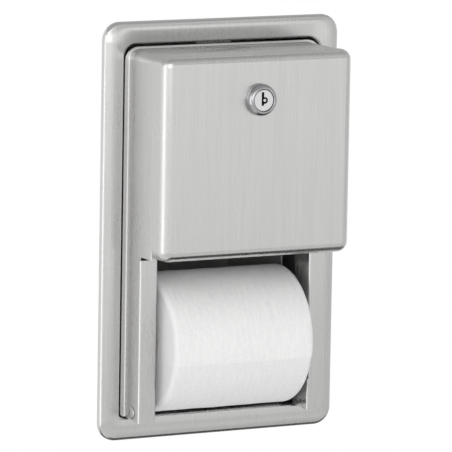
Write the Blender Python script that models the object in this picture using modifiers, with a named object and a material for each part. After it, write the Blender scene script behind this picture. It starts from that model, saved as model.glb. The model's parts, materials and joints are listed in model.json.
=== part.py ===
"""Recessed double roll toilet paper dispenser in satin stainless steel.

X runs to the right, Y into the wall and Z up. The face of the wall is the plane Y = 0, and the
origin is the middle of the trim flange. The box shaped door swings down about two rivets near
the foot of its arms. The lower roll turns between the arms and a reserve roll waits behind the
door, held up by a sprung yoke until it is let down the same track.
"""
import math

import bmesh
import bpy
from mathutils import Matrix, Vector

# Fits
SEAT_GAP = 0.0003
CUT_OVERRUN = 0.004

# Rolls, which the rest is sized round
ROLL_DIAMETER = 0.1086
ROLL_WIDTH = 0.12
SHEET_END_STEP = 0.0004
SHEET_END_ANGLE = 197
CORE_BORE_DIAMETER = 0.041
CORE_WALL = 0.001

# Room round the rolls
ROLL_FLOOR_CLEARANCE = 0.001
ROLL_SPACING = 0.0227
ROOM_ABOVE_ROLLS = 0.0437
ROLL_END_CLEARANCE = 0.0026
ROLL_SIDE_PLAY = 0.001
ROLL_FRONT_CLEARANCE = 0.0117
SIDE_ROOM = 0.0222
ROOM_BEHIND_SHAFT = 0.0258

# Trim flange, one bevelled frame drawn from sheet
FLANGE_CORNER_RADIUS = 0.014
FLANGE_SHEET = 0.0008
FLANGE_RIM_HEIGHT = 0.0038
FLANGE_RIM_RADIUS = 0.0042
FLANGE_EDGE_HEIGHT = 0.01
FLANGE_SIDE_MARGIN = 0.016
FLANGE_END_MARGIN = 0.01805
OPENING_TOP_RADIUS = 0.011
OPENING_FOOT_RADIUS = 0.003
OPENING_EDGE_RADIUS = 0.0022
OPENING_RETURN = 0.0062

# Cabinet behind the wall
CABINET_SHEET = 0.0008
CABINET_LAP = 0.0107
BACK_RIM = 0.012
BACK_BEND_RADIUS = 0.0012
CABINET_CORNER_RADIUS = 0.0025
BACK_CORNER_RADIUS = 0.004
BACK_STEP = 0.001
SCREW_HOLE_DIAMETER = 0.0046
SCREW_HOLE_SPACING = 0.2
SCREW_HOLE_DEPTH = 0.042

# Door wrapper with its arms
DOOR_SHEET = 0.001
DOOR_SIDE_CLEARANCE = 0.0043
DOOR_TOP_CLEARANCE = 0.0027
LIP_GAP = 0.0008
LIP_SETBACK = 0.0011
LIP_BEND_RADIUS = 0.001
LIP_CORNER_RADIUS = 0.0025
WRAP_DEPTH = 0.0375
WRAP_CORNER_RADIUS = 0.008
WRAP_EDGE_RADIUS = 0.0008
WRAP_FLANGE = 0.0045
ARM_DEPTH = 0.0205
ARM_WIDTH = 0.0148
ARM_BEND_RADIUS = 0.0015
ARM_TOP_NOTCH = 0.0027
ARM_FOOT_DROP = 0.002
ARM_RELIEF_HEIGHT = 0.0125
ARM_RELIEF_DEPTH = 0.0011
ARM_RELIEF_ABOVE_FOOT = 0.0247

# Door front pan
PAN_ABOVE_LOWER_ROLL = 0.017
PAN_PROUD = 0.0004
PAN_EDGE_RADIUS = 0.0075
PAN_CORNER_RADIUS = 0.0085

# Hinge at the foot of the arms
PIVOT_AHEAD_OF_LIP = 0.0094
PIVOT_ABOVE_OPENING = 0.0053
RIVET_HEAD_DIAMETER = 0.0095
RIVET_HEAD_HEIGHT = 0.001
RIVET_SHANK_DIAMETER = 0.006
RIVET_TAIL_DIAMETER = 0.0082
RIVET_TAIL_HEIGHT = 0.0015
WASHER_THICKNESS = 0.001
WASHER_DIAMETER = 0.0105
EAR_SHEET = 0.0012
EAR_RADIUS = 0.006
EAR_TOP_RISE = 0.01
EAR_BASE_LENGTH = 0.025
EAR_JOG_LENGTH = 0.0105

# Spindles
SPINDLE_DIAMETER = 0.026
SPINDLE_WAIST_DIAMETER = 0.0236
SPINDLE_COLLAR_WIDTH = 0.008
SPINDLE_CHAMFER = 0.0015
JOURNAL_DIAMETER = 0.016
JOURNAL_LENGTH = 0.008
SPINDLE_END_PLAY = 0.0011

# Housing side plates with the spindle track
PLATE_SHEET = 0.001
TRACK_FRONT_CLEARANCE = 0.0025
PLATE_TOP_MARGIN = 0.024
PLATE_FOOT_GAP = 0.0026
PLATE_FLANGE = 0.014
HOOK_REACH = 0.0025
HOOK_DEPTH = 0.014
FASTENER_DIAMETER = 0.004
FASTENER_HEAD_DIAMETER = 0.0076
FASTENER_HEAD_HEIGHT = 0.0012

# Release yoke
SHAFT_DIAMETER = 0.006
SHAFT_BEHIND_ROLL = 0.0163
SHAFT_BELOW_RESERVE = 0.014
LEVER_SHEET = 0.001
LEVER_SIDE_GAP = 0.0006
LEVER_BOSS_DIAMETER = 0.014
LEVER_DEPTH = 0.008
CRADLE_WALL = 0.0035
CLIP_DIAMETER = 0.012
CLIP_THICKNESS = 0.0008
SPRING_WIRE = 0.0015
SPRING_RADIUS = 0.0052
SPRING_TURNS = 5
SPRING_PITCH = 0.0019
SPRING_LEG = 0.026

# Lock
LOCK_BELOW_TOP = 0.0346
COLLAR_DIAMETER = 0.0244
COLLAR_FACE_DIAMETER = 0.0184
COLLAR_HEIGHT = 0.0065
COLLAR_EDGE_HEIGHT = 0.0014
PLUG_FACE_DIAMETER = 0.0164
PLUG_FACE_RECESS = 0.0006
PLUG_HEAD_THICKNESS = 0.0024
PLUG_STEM_DIAMETER = 0.0124
LOCK_BODY_DIAMETER = 0.019
LOCK_BODY_LENGTH = 0.0215
LOCK_NUT_WIDTH = 0.0235
LOCK_NUT_THICKNESS = 0.005
KEY_SLOT_WIDTH = 0.0021
KEY_SLOT_HEIGHT = 0.0103
KEY_SLOT_DEPTH = 0.0045
TONGUE_WIDTH = 0.012
TONGUE_THICKNESS = 0.002
TONGUE_STUB_DIAMETER = 0.007
TONGUE_SCREW_DIAMETER = 0.0034
TONGUE_SCREW_DEPTH = 0.006
TONGUE_SCREW_HEAD = 0.0096

# Keeper for the tongue
KEEPER_SHEET = 0.0015
KEEPER_WIDTH = 0.03
KEEPER_HEADROOM = 0.0041
KEEPER_GAP = 0.001
KEEPER_BASE_LENGTH = 0.026
KEEPER_BASE_SETBACK = 0.004
KEEPER_BEND_RADIUS = 0.002
KEEPER_HOOK_CLEARANCE = 0.002
TONGUE_TIP_CLEARANCE = 0.002

# Door guides
GUIDE_TOP_ABOVE_RESERVE = 0.046
GUIDE_SIDE_LEG = 0.016

# Facets
CORNER_STEPS = 5
BEND_STEPS = 3
ROUND_STEPS = 32
SPINDLE_STEPS = 24
SMALL_ROUND_STEPS = 12
ROLL_STEPS = 80
SMOOTH_ANGLE = math.radians(40)

# Places that follow from the sizes
ROLL_RADIUS = ROLL_DIAMETER / 2
PLATE_INNER_X = ROLL_WIDTH / 2 + ROLL_END_CLEARANCE
PLATE_OUTER_X = PLATE_INNER_X + PLATE_SHEET
OPENING_HALF_WIDTH = PLATE_INNER_X + SIDE_ROOM
OPENING_HALF_HEIGHT = ROLL_DIAMETER + (ROLL_FLOOR_CLEARANCE + ROLL_SPACING + ROOM_ABOVE_ROLLS) / 2
FLANGE_HALF_WIDTH = OPENING_HALF_WIDTH + FLANGE_SIDE_MARGIN
FLANGE_HALF_HEIGHT = OPENING_HALF_HEIGHT + FLANGE_END_MARGIN

LIP_Y = LIP_SETBACK - FLANGE_EDGE_HEIGHT
SEAT_RADIUS = JOURNAL_DIAMETER / 2 + SEAT_GAP
SPINDLE_Y = LIP_Y + TRACK_FRONT_CLEARANCE + JOURNAL_DIAMETER / 2
TRACK_REAR_Y = SPINDLE_Y + SEAT_RADIUS
LOWER_ROLL_Z = ROLL_FLOOR_CLEARANCE + ROLL_RADIUS - OPENING_HALF_HEIGHT
RESERVE_ROLL_Z = LOWER_ROLL_Z + ROLL_DIAMETER + ROLL_SPACING
ROLL_HANG = (CORE_BORE_DIAMETER - SPINDLE_DIAMETER) / 2 - SEAT_GAP
LOWER_SPINDLE_Z = LOWER_ROLL_Z + ROLL_HANG
RESERVE_SPINDLE_Z = RESERVE_ROLL_Z + ROLL_HANG

LEVER_INNER_X = PLATE_OUTER_X + LEVER_SIDE_GAP
LEVER_OUTER_X = LEVER_INNER_X + LEVER_SHEET
SHAFT_Y = SPINDLE_Y + ROLL_RADIUS + SHAFT_BEHIND_ROLL
SHAFT_Z = RESERVE_SPINDLE_Z - SHAFT_BELOW_RESERVE
SHAFT_RUNNING_RADIUS = SHAFT_DIAMETER / 2 + SEAT_GAP

CABINET_INNER_X = OPENING_HALF_WIDTH + FLANGE_SHEET + SEAT_GAP
CABINET_INNER_Z = OPENING_HALF_HEIGHT + FLANGE_SHEET + SEAT_GAP
CABINET_OUTER_X = CABINET_INNER_X + CABINET_SHEET
CABINET_OUTER_Z = CABINET_INNER_Z + CABINET_SHEET
CABINET_DEPTH = SHAFT_Y + ROOM_BEHIND_SHAFT
BACK_INNER_Y = CABINET_DEPTH - CABINET_SHEET

DOOR_SIDE_X = OPENING_HALF_WIDTH - DOOR_SIDE_CLEARANCE
DOOR_TOP_Z = OPENING_HALF_HEIGHT - DOOR_TOP_CLEARANCE
WRAP_FRONT_Y = LIP_Y - WRAP_DEPTH
ARM_FRONT_Y = LIP_Y - ARM_DEPTH
ARM_FOOT_Z = LIP_GAP - OPENING_HALF_HEIGHT
PAN_TOP_Z = DOOR_TOP_Z + PAN_PROUD
PAN_FOOT_Z = LOWER_ROLL_Z + ROLL_RADIUS + PAN_ABOVE_LOWER_ROLL
PAN_REAR_Y = WRAP_FRONT_Y - SEAT_GAP
PAN_INNER_Y = SPINDLE_Y - ROLL_RADIUS - ROLL_FRONT_CLEARANCE
PAN_FRONT_Y = PAN_INNER_Y - DOOR_SHEET
ARM_TOP_Z = PAN_FOOT_Z - ARM_TOP_NOTCH

PIVOT_Y = LIP_Y - PIVOT_AHEAD_OF_LIP
PIVOT_Z = PIVOT_ABOVE_OPENING - OPENING_HALF_HEIGHT
EAR_OUTER_X = DOOR_SIDE_X - DOOR_SHEET - WASHER_THICKNESS - 2 * SEAT_GAP

LOCK_Z = DOOR_TOP_Z - LOCK_BELOW_TOP
LOCK_BODY_REAR_Y = PAN_INNER_Y + LOCK_BODY_LENGTH
TONGUE_FRONT_Y = LOCK_BODY_REAR_Y + SEAT_GAP
KEEPER_TOP_Z = DOOR_TOP_Z - DOOR_SHEET - KEEPER_HEADROOM
KEEPER_HOOK_Y = TONGUE_FRONT_Y - KEEPER_GAP - KEEPER_SHEET
KEEPER_HOOK_Z = LOCK_Z + LOCK_BODY_DIAMETER / 2 + KEEPER_HOOK_CLEARANCE
TONGUE_REACH = KEEPER_TOP_Z - KEEPER_SHEET - TONGUE_TIP_CLEARANCE - LOCK_Z


# Scene and shared helpers

def clear_scene():
    for thing in list(bpy.data.objects):
        bpy.data.objects.remove(thing, do_unlink=True)


def new_collection(name):
    group = bpy.data.collections.new(name)
    bpy.context.scene.collection.children.link(group)
    return group


def new_material(name, colour, roughness, metallic):
    material = bpy.data.materials.new(name)
    material.use_nodes = True
    shader = material.node_tree.nodes["Principled BSDF"]
    shader.inputs["Base Color"].default_value = (*colour, 1.0)
    shader.inputs["Roughness"].default_value = roughness
    shader.inputs["Metallic"].default_value = metallic
    return material


def place(thing, material=None):
    """Put an object among the parts, or among the cutters when it has no material."""
    if material is None:
        CUTTERS.objects.link(thing)
        thing.hide_render = True
        thing.display_type = "WIRE"
    else:
        PARTS.objects.link(thing)
        thing.data.materials.append(material)
    return thing


def smooth(thing):
    thing.data.shade_smooth()
    thing.data.set_sharp_from_angle(angle=SMOOTH_ANGLE)
    return thing


def mesh_object(name, shape, material=None):
    mesh = bpy.data.meshes.new(name)
    shape.to_mesh(mesh)
    shape.free()
    return smooth(place(bpy.data.objects.new(name, mesh), material))


def turn_outward(shape, inside):
    """Flip an open sheet whose faces look towards the given inner point on the whole."""
    shape.normal_update()
    lean = sum(face.normal.dot(face.calc_center_median() - inside) * face.calc_area()
               for face in shape.faces)
    if lean < 0:
        bmesh.ops.reverse_faces(shape, faces=shape.faces[:])


def solidify(thing, thickness):
    shell = thing.modifiers.new("thickness", "SOLIDIFY")
    shell.thickness = thickness
    shell.offset = -1.0
    shell.use_even_offset = True
    return thing


def cut(thing, cutter):
    hole = thing.modifiers.new("cut", "BOOLEAN")
    hole.operation = "DIFFERENCE"
    hole.solver = "EXACT"
    hole.object = cutter


def join(thing, other):
    union = thing.modifiers.new("join", "BOOLEAN")
    union.operation = "UNION"
    union.solver = "EXACT"
    union.object = other


def box(name, low, high, material=None):
    shape = bmesh.new()
    bmesh.ops.create_cube(shape, size=1.0)
    low, high = Vector(low), Vector(high)
    for vert in shape.verts:
        vert.co = Vector(a + (b - a) * (c + 0.5) for a, b, c in zip(low, high, vert.co))
    return mesh_object(name, shape, material)


def rod(name, start, end, radius, steps, material=None):
    """A round bar between two points."""
    shape = bmesh.new()
    start, end = Vector(start), Vector(end)
    axis = end - start
    bmesh.ops.create_cone(shape, cap_ends=True, segments=steps, radius1=radius,
                          radius2=radius, depth=axis.length)
    turn = axis.to_track_quat("Z", "Y").to_matrix().to_4x4()
    bmesh.ops.transform(shape, matrix=Matrix.Translation((start + end) / 2) @ turn,
                        verts=shape.verts[:])
    return mesh_object(name, shape, material)


def arc(centre, radius, start, end, steps):
    """Points on an arc in a plane, angles in degrees."""
    angles = [math.radians(start + (end - start) * i / steps) for i in range(steps + 1)]
    return [(centre[0] + radius * math.cos(a), centre[1] + radius * math.sin(a)) for a in angles]


def rounded_path(corners, radii, steps=BEND_STEPS):
    """Straight runs between corner points, with each inner corner bent to its radius."""
    corners = [Vector(corner) for corner in corners]
    path = [corners[0]]
    for before, corner, after, radius in zip(corners, corners[1:], corners[2:], radii):
        back, ahead = (before - corner).normalized(), (after - corner).normalized()
        half = back.angle(ahead) / 2
        centre = corner + (back + ahead).normalized() * (radius / math.sin(half))
        first = corner + back * (radius / math.tan(half)) - centre
        last = corner + ahead * (radius / math.tan(half)) - centre
        for i in range(steps + 1):
            path.append(centre + first.lerp(last, i / steps).normalized() * radius)
    path.append(corners[-1])
    return [tuple(point) for point in path]


def rounded_rectangle(half_width, half_height, radius, middle=0.0, foot_radius=None):
    """Outline in X and Z, counter-clockwise from the lower right corner."""
    outline = []
    for quarter, (side, end) in enumerate(((1, -1), (1, 1), (-1, 1), (-1, -1))):
        bend = foot_radius if foot_radius and end < 0 else radius
        centre = (side * (half_width - bend), middle + end * (half_height - bend))
        outline += arc(centre, bend, 90 * quarter - 90, 90 * quarter, CORNER_STEPS)
    return outline


def loft(name, loops, closed_end, inside, material):
    """A sheet stretched over closed loops of equal length, with an optional flat end."""
    shape = bmesh.new()
    rings = [[shape.verts.new(point) for point in loop] for loop in loops]
    for near, far in zip(rings, rings[1:]):
        for i in range(len(near)):
            shape.faces.new((near[i - 1], near[i], far[i], far[i - 1]))
    if closed_end:
        shape.faces.new(rings[-1])
    turn_outward(shape, Vector(inside))
    return mesh_object(name, shape, material)


def bent_strip(name, rows, inside, thickness, material):
    """Sheet bent along a path. Each row is the same path at another place across the strip."""
    shape = bmesh.new()
    grid = [[shape.verts.new(point) for point in row] for row in rows]
    for near, far in zip(grid, grid[1:]):
        for i in range(1, len(near)):
            shape.faces.new((near[i - 1], near[i], far[i], far[i - 1]))
    turn_outward(shape, Vector(inside))
    return solidify(mesh_object(name, shape, material), thickness)


def flat_plate(name, outlines, x_low, x_high, material):
    """Outlines in Y and Z, holes included, cut from sheet that lies between two X places."""
    curve = bpy.data.curves.new(name, "CURVE")
    curve.dimensions = "2D"
    curve.fill_mode = "BOTH"
    curve.extrude = (x_high - x_low) / 2
    for outline in outlines:
        spline = curve.splines.new("POLY")
        spline.points.add(len(outline) - 1)
        for point, (y, z) in zip(spline.points, outline):
            point.co = (y, z, 0.0, 1.0)
        spline.use_cyclic_u = True
    guide = bpy.data.objects.new(name + "_outline", curve)
    bpy.context.scene.collection.objects.link(guide)
    reader = bpy.context.evaluated_depsgraph_get()
    mesh = bpy.data.meshes.new_from_object(guide.evaluated_get(reader))
    bpy.data.objects.remove(guide, do_unlink=True)
    shape = bmesh.new()
    shape.from_mesh(mesh)
    bpy.data.meshes.remove(mesh)
    bmesh.ops.remove_doubles(shape, verts=shape.verts[:], dist=SEAT_GAP / 10)
    upright = Matrix(((0, 0, 1, (x_low + x_high) / 2), (1, 0, 0, 0), (0, 1, 0, 0), (0, 0, 0, 1)))
    bmesh.ops.transform(shape, matrix=upright, verts=shape.verts[:])
    return mesh_object(name, shape, material)


def turned(name, profile, location, rotation, steps, material, closed=False):
    """A profile of radius and height turned about its own axis."""
    mesh = bpy.data.meshes.new(name)
    edges = [(i, i + 1) for i in range(len(profile) - 1)]
    if closed:
        edges.append((len(profile) - 1, 0))
    mesh.from_pydata([(radius, 0.0, height) for radius, height in profile], edges, [])
    thing = bpy.data.objects.new(name, mesh)
    thing.location = location
    thing.rotation_euler = rotation
    place(thing, material)
    lathe = thing.modifiers.new("turn", "SCREW")
    lathe.steps = steps
    lathe.render_steps = steps
    lathe.use_merge_vertices = True
    lathe.merge_threshold = SEAT_GAP / 30
    lathe.use_smooth_shade = True
    return thing


OUT_OF_WALL = (math.radians(90), 0.0, 0.0)
TOWARDS_RIGHT = (0.0, math.radians(90), 0.0)
TOWARDS_LEFT = (0.0, math.radians(-90), 0.0)
SIDES = (("left", -1), ("right", 1))


def rivet_profile(grip, head, head_height, shank, tail, tail_height):
    """Half outline of a set rivet whose grip starts at height zero and runs down."""
    return [(0.0, head_height), (head * 0.38, head_height), (head / 2, 0.0), (shank / 2, 0.0),
            (shank / 2, -grip), (tail / 2, -grip), (tail * 0.38, -grip - tail_height),
            (0.0, -grip - tail_height)]


def fasteners(name, places, rotation, grip, material):
    """Small rivets through two sheets."""
    profile = rivet_profile(grip, FASTENER_HEAD_DIAMETER, FASTENER_HEAD_HEIGHT, FASTENER_DIAMETER,
                            FASTENER_HEAD_DIAMETER, FASTENER_HEAD_HEIGHT)
    for number, location in enumerate(places, 1):
        turned(f"{name}_{number}", profile, location, rotation, SMALL_ROUND_STEPS, material)


def fastener_holes(thing, name, places, direction, depth):
    """Clear holes for the rivets, each through one sheet."""
    reach = Vector(direction) * depth
    for number, location in enumerate(places):
        start, end = Vector(location) - reach, Vector(location) + reach
        cut(thing, rod(f"{name}_{number}", start, end, FASTENER_DIAMETER / 2 + SEAT_GAP,
                       SMALL_ROUND_STEPS))


# Trim flange and cabinet

def build_trim_flange():
    path = rounded_path([(0.0, 0.0), (0.0, -FLANGE_RIM_HEIGHT),
                         (FLANGE_SIDE_MARGIN, -FLANGE_EDGE_HEIGHT),
                         (FLANGE_SIDE_MARGIN, OPENING_RETURN)],
                        [FLANGE_RIM_RADIUS, OPENING_EDGE_RADIUS])
    loops = []
    for inset, y in path:
        share = inset / FLANGE_SIDE_MARGIN
        top, foot = [FLANGE_CORNER_RADIUS + (radius - FLANGE_CORNER_RADIUS) * share
                     for radius in (OPENING_TOP_RADIUS, OPENING_FOOT_RADIUS)]
        outline = rounded_rectangle(FLANGE_HALF_WIDTH - inset,
                                    FLANGE_HALF_HEIGHT - FLANGE_END_MARGIN * share, top,
                                    foot_radius=foot)
        loops.append([(x, y, z) for x, z in outline])
    shape = loft("trim_flange", loops, False, (0.0, CABINET_DEPTH, 0.0), SATIN)
    solidify(shape, FLANGE_SHEET)


def screw_hole_places():
    return [(side * CABINET_INNER_X, SCREW_HOLE_DEPTH, end * SCREW_HOLE_SPACING / 2)
            for side in (-1, 1) for end in (-1, 1)]


def bracket_fastener_places(side):
    middle = PIVOT_Z + (EAR_TOP_RISE - EAR_RADIUS) / 2
    first = OPENING_RETURN + SEAT_GAP + EAR_JOG_LENGTH / 2
    return [(side * (CABINET_INNER_X - SEAT_GAP - EAR_SHEET), first + EAR_BASE_LENGTH * share, middle)
            for share in (0.35, 0.8)]


def keeper_fastener_places():
    y = OPENING_RETURN + KEEPER_BASE_SETBACK + KEEPER_BASE_LENGTH * 0.62
    return [(KEEPER_WIDTH * share, y, CABINET_INNER_Z - SEAT_GAP - KEEPER_SHEET)
            for share in (-0.25, 0.25)]


def plate_fastener_places():
    low, high = plate_flange_span()
    x = PLATE_OUTER_X + PLATE_FLANGE * 0.55
    return [(side * x, BACK_INNER_Y - SEAT_GAP - PLATE_SHEET, low + (high - low) * share)
            for side in (-1, 1) for share in (0.12, 0.88)]


def build_cabinet():
    outline = rounded_rectangle(CABINET_OUTER_X, CABINET_OUTER_Z, CABINET_CORNER_RADIUS)
    front, rear = OPENING_RETURN - CABINET_LAP, CABINET_DEPTH - BACK_STEP
    loops = [[(x, y, z) for x, z in outline] for y in (front, rear)]
    wrapper = loft("cabinet_wrapper", loops, False, (0.0, CABINET_DEPTH / 2, 0.0), INNER_STEEL)
    solidify(wrapper, CABINET_SHEET)
    for number, (x, y, z) in enumerate(screw_hole_places()):
        reach = math.copysign(CUT_OVERRUN, x)
        cut(wrapper, rod(f"screw_hole_{number}", (x - reach, y, z), (x + reach, y, z),
                         SCREW_HOLE_DIAMETER / 2, SMALL_ROUND_STEPS))
    for name, side in SIDES:
        fastener_holes(wrapper, f"bracket_hole_{name}", bracket_fastener_places(side),
                       (1, 0, 0), CUT_OVERRUN)
    fastener_holes(wrapper, "keeper_hole", keeper_fastener_places(), (0, 0, 1), CUT_OVERRUN)

    half_x, half_z = CABINET_INNER_X - SEAT_GAP, CABINET_INNER_Z - SEAT_GAP
    path = rounded_path([(0.0, CABINET_DEPTH - BACK_RIM), (0.0, CABINET_DEPTH),
                         (2 * BACK_BEND_RADIUS, CABINET_DEPTH)], [BACK_BEND_RADIUS])
    loops = []
    for inset, y in path:
        outline = rounded_rectangle(half_x - inset, half_z - inset, BACK_CORNER_RADIUS - inset)
        loops.append([(x, y, z) for x, z in outline])
    back = loft("cabinet_back", loops, True, (0.0, 0.0, 0.0), INNER_STEEL)
    solidify(back, CABINET_SHEET)
    fastener_holes(back, "plate_hole", plate_fastener_places(), (0, 1, 0), CUT_OVERRUN)


# Housing side plates

def plate_flange_span():
    return PLATE_FOOT_GAP - CABINET_INNER_Z, RESERVE_SPINDLE_Z + PLATE_TOP_MARGIN


def side_plate_outline():
    """Plate with the open track in front and the hooked seat of the lower spindle."""
    low, high = plate_flange_span()
    rear = BACK_INNER_Y - SEAT_GAP
    seat = (SPINDLE_Y, LOWER_SPINDLE_Z)
    hook_front = SPINDLE_Y - SEAT_RADIUS * math.cos(math.radians(30)) - HOOK_REACH
    hook_tip_z = LOWER_SPINDLE_Z - SEAT_RADIUS / 2
    outline = [(rear, low), (rear, high), (TRACK_REAR_Y + SEAT_RADIUS, high)]
    outline += arc((TRACK_REAR_Y + SEAT_RADIUS, high - SEAT_RADIUS), SEAT_RADIUS, 90, 180,
                   BEND_STEPS)[1:]
    outline += arc(seat, SEAT_RADIUS, 0, -150, 3 * BEND_STEPS)
    outline += arc((hook_front + HOOK_REACH / 2, hook_tip_z), HOOK_REACH / 2, 60, 180, BEND_STEPS)
    outline += [(hook_front, hook_tip_z - HOOK_DEPTH),
                (TRACK_REAR_Y, hook_tip_z - 2 * HOOK_DEPTH), (TRACK_REAR_Y, low)]
    return outline


def build_side_plates():
    low, high = plate_flange_span()
    rear = BACK_INNER_Y - SEAT_GAP
    shaft_hole = arc((SHAFT_Y, SHAFT_Z), SHAFT_RUNNING_RADIUS, 0, 360, SMALL_ROUND_STEPS)[:-1]
    for name, side in SIDES:
        faces = sorted((side * PLATE_INNER_X, side * PLATE_OUTER_X))
        plate = flat_plate(f"side_plate_{name}", [side_plate_outline(), shaft_hole], *faces, INNER_STEEL)
        ends = sorted((side * (PLATE_INNER_X + PLATE_SHEET / 2), side * (PLATE_OUTER_X + PLATE_FLANGE)))
        flange = box(f"plate_flange_{name}", (ends[0], rear - PLATE_SHEET, low),
                     (ends[1], rear, high))
        join(plate, flange)
        places = [spot for spot in plate_fastener_places() if spot[0] * side > 0]
        fastener_holes(plate, f"flange_hole_{name}", places, (0, 1, 0), CUT_OVERRUN)
    grip = PLATE_SHEET + SEAT_GAP + CABINET_SHEET + 2 * SEAT_GAP
    places = [(x, y - SEAT_GAP, z) for x, y, z in plate_fastener_places()]
    fasteners("plate_rivet", places, OUT_OF_WALL, grip, RIVET_STEEL)


# Hinge

def build_hinge():
    ear_low = PIVOT_Z - EAR_RADIUS * math.sin(math.radians(45))
    heights = [PIVOT_Z + EAR_RADIUS * math.sin(math.radians(a)) for a in (-45, -20, 10, 45, 90)]
    heights.append(PIVOT_Z + EAR_TOP_RISE)
    base_rear = OPENING_RETURN + SEAT_GAP + EAR_JOG_LENGTH / 2 + EAR_BASE_LENGTH
    for name, side in SIDES:
        base_x = CABINET_INNER_X - SEAT_GAP
        rows = []
        for z in heights:
            rise = z - PIVOT_Z
            if rise <= EAR_RADIUS:
                nose = PIVOT_Y - math.sqrt(EAR_RADIUS ** 2 - min(rise ** 2, EAR_RADIUS ** 2))
            else:
                nose = PIVOT_Y + rise - EAR_RADIUS
            jog_rear = base_rear - EAR_BASE_LENGTH
            path = rounded_path([(base_x, base_rear), (base_x, jog_rear),
                                 (EAR_OUTER_X, jog_rear - EAR_JOG_LENGTH), (EAR_OUTER_X, nose)],
                                [2 * EAR_SHEET, 2 * EAR_SHEET])
            rows.append([(side * x, y, z) for x, y in path])
        bracket = bent_strip(f"hinge_bracket_{name}", rows, (0.0, PIVOT_Y, ear_low), EAR_SHEET,
                             INNER_STEEL)
        cut(bracket, rod(f"ear_hole_{name}", (side * (EAR_OUTER_X - CUT_OVERRUN), PIVOT_Y, PIVOT_Z),
                         (side * DOOR_SIDE_X, PIVOT_Y, PIVOT_Z),
                         RIVET_SHANK_DIAMETER / 2 + SEAT_GAP, SMALL_ROUND_STEPS))
        fastener_holes(bracket, f"base_hole_{name}", bracket_fastener_places(side), (1, 0, 0),
                       CUT_OVERRUN)
        turn = TOWARDS_RIGHT if side > 0 else TOWARDS_LEFT
        grip = DOOR_SIDE_X + SEAT_GAP - (EAR_OUTER_X - EAR_SHEET - SEAT_GAP)
        profile = rivet_profile(grip, RIVET_HEAD_DIAMETER, RIVET_HEAD_HEIGHT, RIVET_SHANK_DIAMETER,
                                RIVET_TAIL_DIAMETER, RIVET_TAIL_HEIGHT)
        turned(f"pivot_rivet_{name}", profile,
               (side * (DOOR_SIDE_X + SEAT_GAP), PIVOT_Y, PIVOT_Z), turn, 2 * SMALL_ROUND_STEPS,
               RIVET_STEEL)
        bore = RIVET_SHANK_DIAMETER / 2 + SEAT_GAP
        ring = [(bore, WASHER_THICKNESS), (WASHER_DIAMETER / 2, WASHER_THICKNESS),
                (WASHER_DIAMETER / 2, 0.0), (bore, 0.0)]
        turned(f"pivot_washer_{name}", ring, (side * (EAR_OUTER_X + SEAT_GAP), PIVOT_Y, PIVOT_Z),
               turn, 2 * SMALL_ROUND_STEPS, WHITE_PLASTIC, closed=True)
    grip = EAR_SHEET + SEAT_GAP + CABINET_SHEET + 2 * SEAT_GAP
    for name, side in SIDES:
        turn = TOWARDS_LEFT if side > 0 else TOWARDS_RIGHT
        places = [(x - side * SEAT_GAP, y, z) for x, y, z in bracket_fastener_places(side)]
        fasteners(f"bracket_rivet_{name}", places, turn, grip, RIVET_STEEL)


# Keeper

def build_keeper():
    base_z = CABINET_INNER_Z - SEAT_GAP
    drop_y = OPENING_RETURN + KEEPER_BASE_SETBACK
    path = rounded_path([(drop_y + KEEPER_BASE_LENGTH, base_z), (drop_y, base_z),
                         (drop_y, KEEPER_TOP_Z), (KEEPER_HOOK_Y, KEEPER_TOP_Z),
                         (KEEPER_HOOK_Y, KEEPER_HOOK_Z)],
                        [KEEPER_BEND_RADIUS] * 3)
    rows = [[(x, y, z) for y, z in path] for x in (-KEEPER_WIDTH / 2, KEEPER_WIDTH / 2)]
    keeper = bent_strip("latch_keeper", rows, (0.0, SPINDLE_Y, LOCK_Z), KEEPER_SHEET, INNER_STEEL)
    fastener_holes(keeper, "keeper_base_hole", keeper_fastener_places(), (0, 0, 1), CUT_OVERRUN)
    grip = KEEPER_SHEET + SEAT_GAP + CABINET_SHEET + 2 * SEAT_GAP
    places = [(x, y, z - SEAT_GAP) for x, y, z in keeper_fastener_places()]
    fasteners("keeper_rivet", places, (math.radians(180), 0.0, 0.0), grip, RIVET_STEEL)


# Release yoke

def lever_outline():
    """Side view of a lever: boss on the shaft, arm, and cradle under the spindle's journal."""
    shaft, seat = (SHAFT_Y, SHAFT_Z), (SPINDLE_Y, RESERVE_SPINDLE_Z)
    boss, rim = LEVER_BOSS_DIAMETER / 2, SEAT_RADIUS + CRADLE_WALL
    outline = arc(shaft, boss, -100, 80, 3 * BEND_STEPS)
    outline += [(SHAFT_Y - 2 * boss, SHAFT_Z + LEVER_DEPTH / 2),
                (SPINDLE_Y + 2 * rim, SHAFT_Z + LEVER_DEPTH / 2)]
    outline += arc(seat, rim, -38, -25, 1)
    outline += arc(seat, SEAT_RADIUS, -25, -165, 3 * BEND_STEPS)
    outline += arc(seat, rim, -165, -100, 2 * BEND_STEPS)
    outline += [(SPINDLE_Y + 2 * rim, SHAFT_Z - LEVER_DEPTH / 2),
                (SHAFT_Y - 2 * boss, SHAFT_Z - LEVER_DEPTH / 2)]
    return outline


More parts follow.
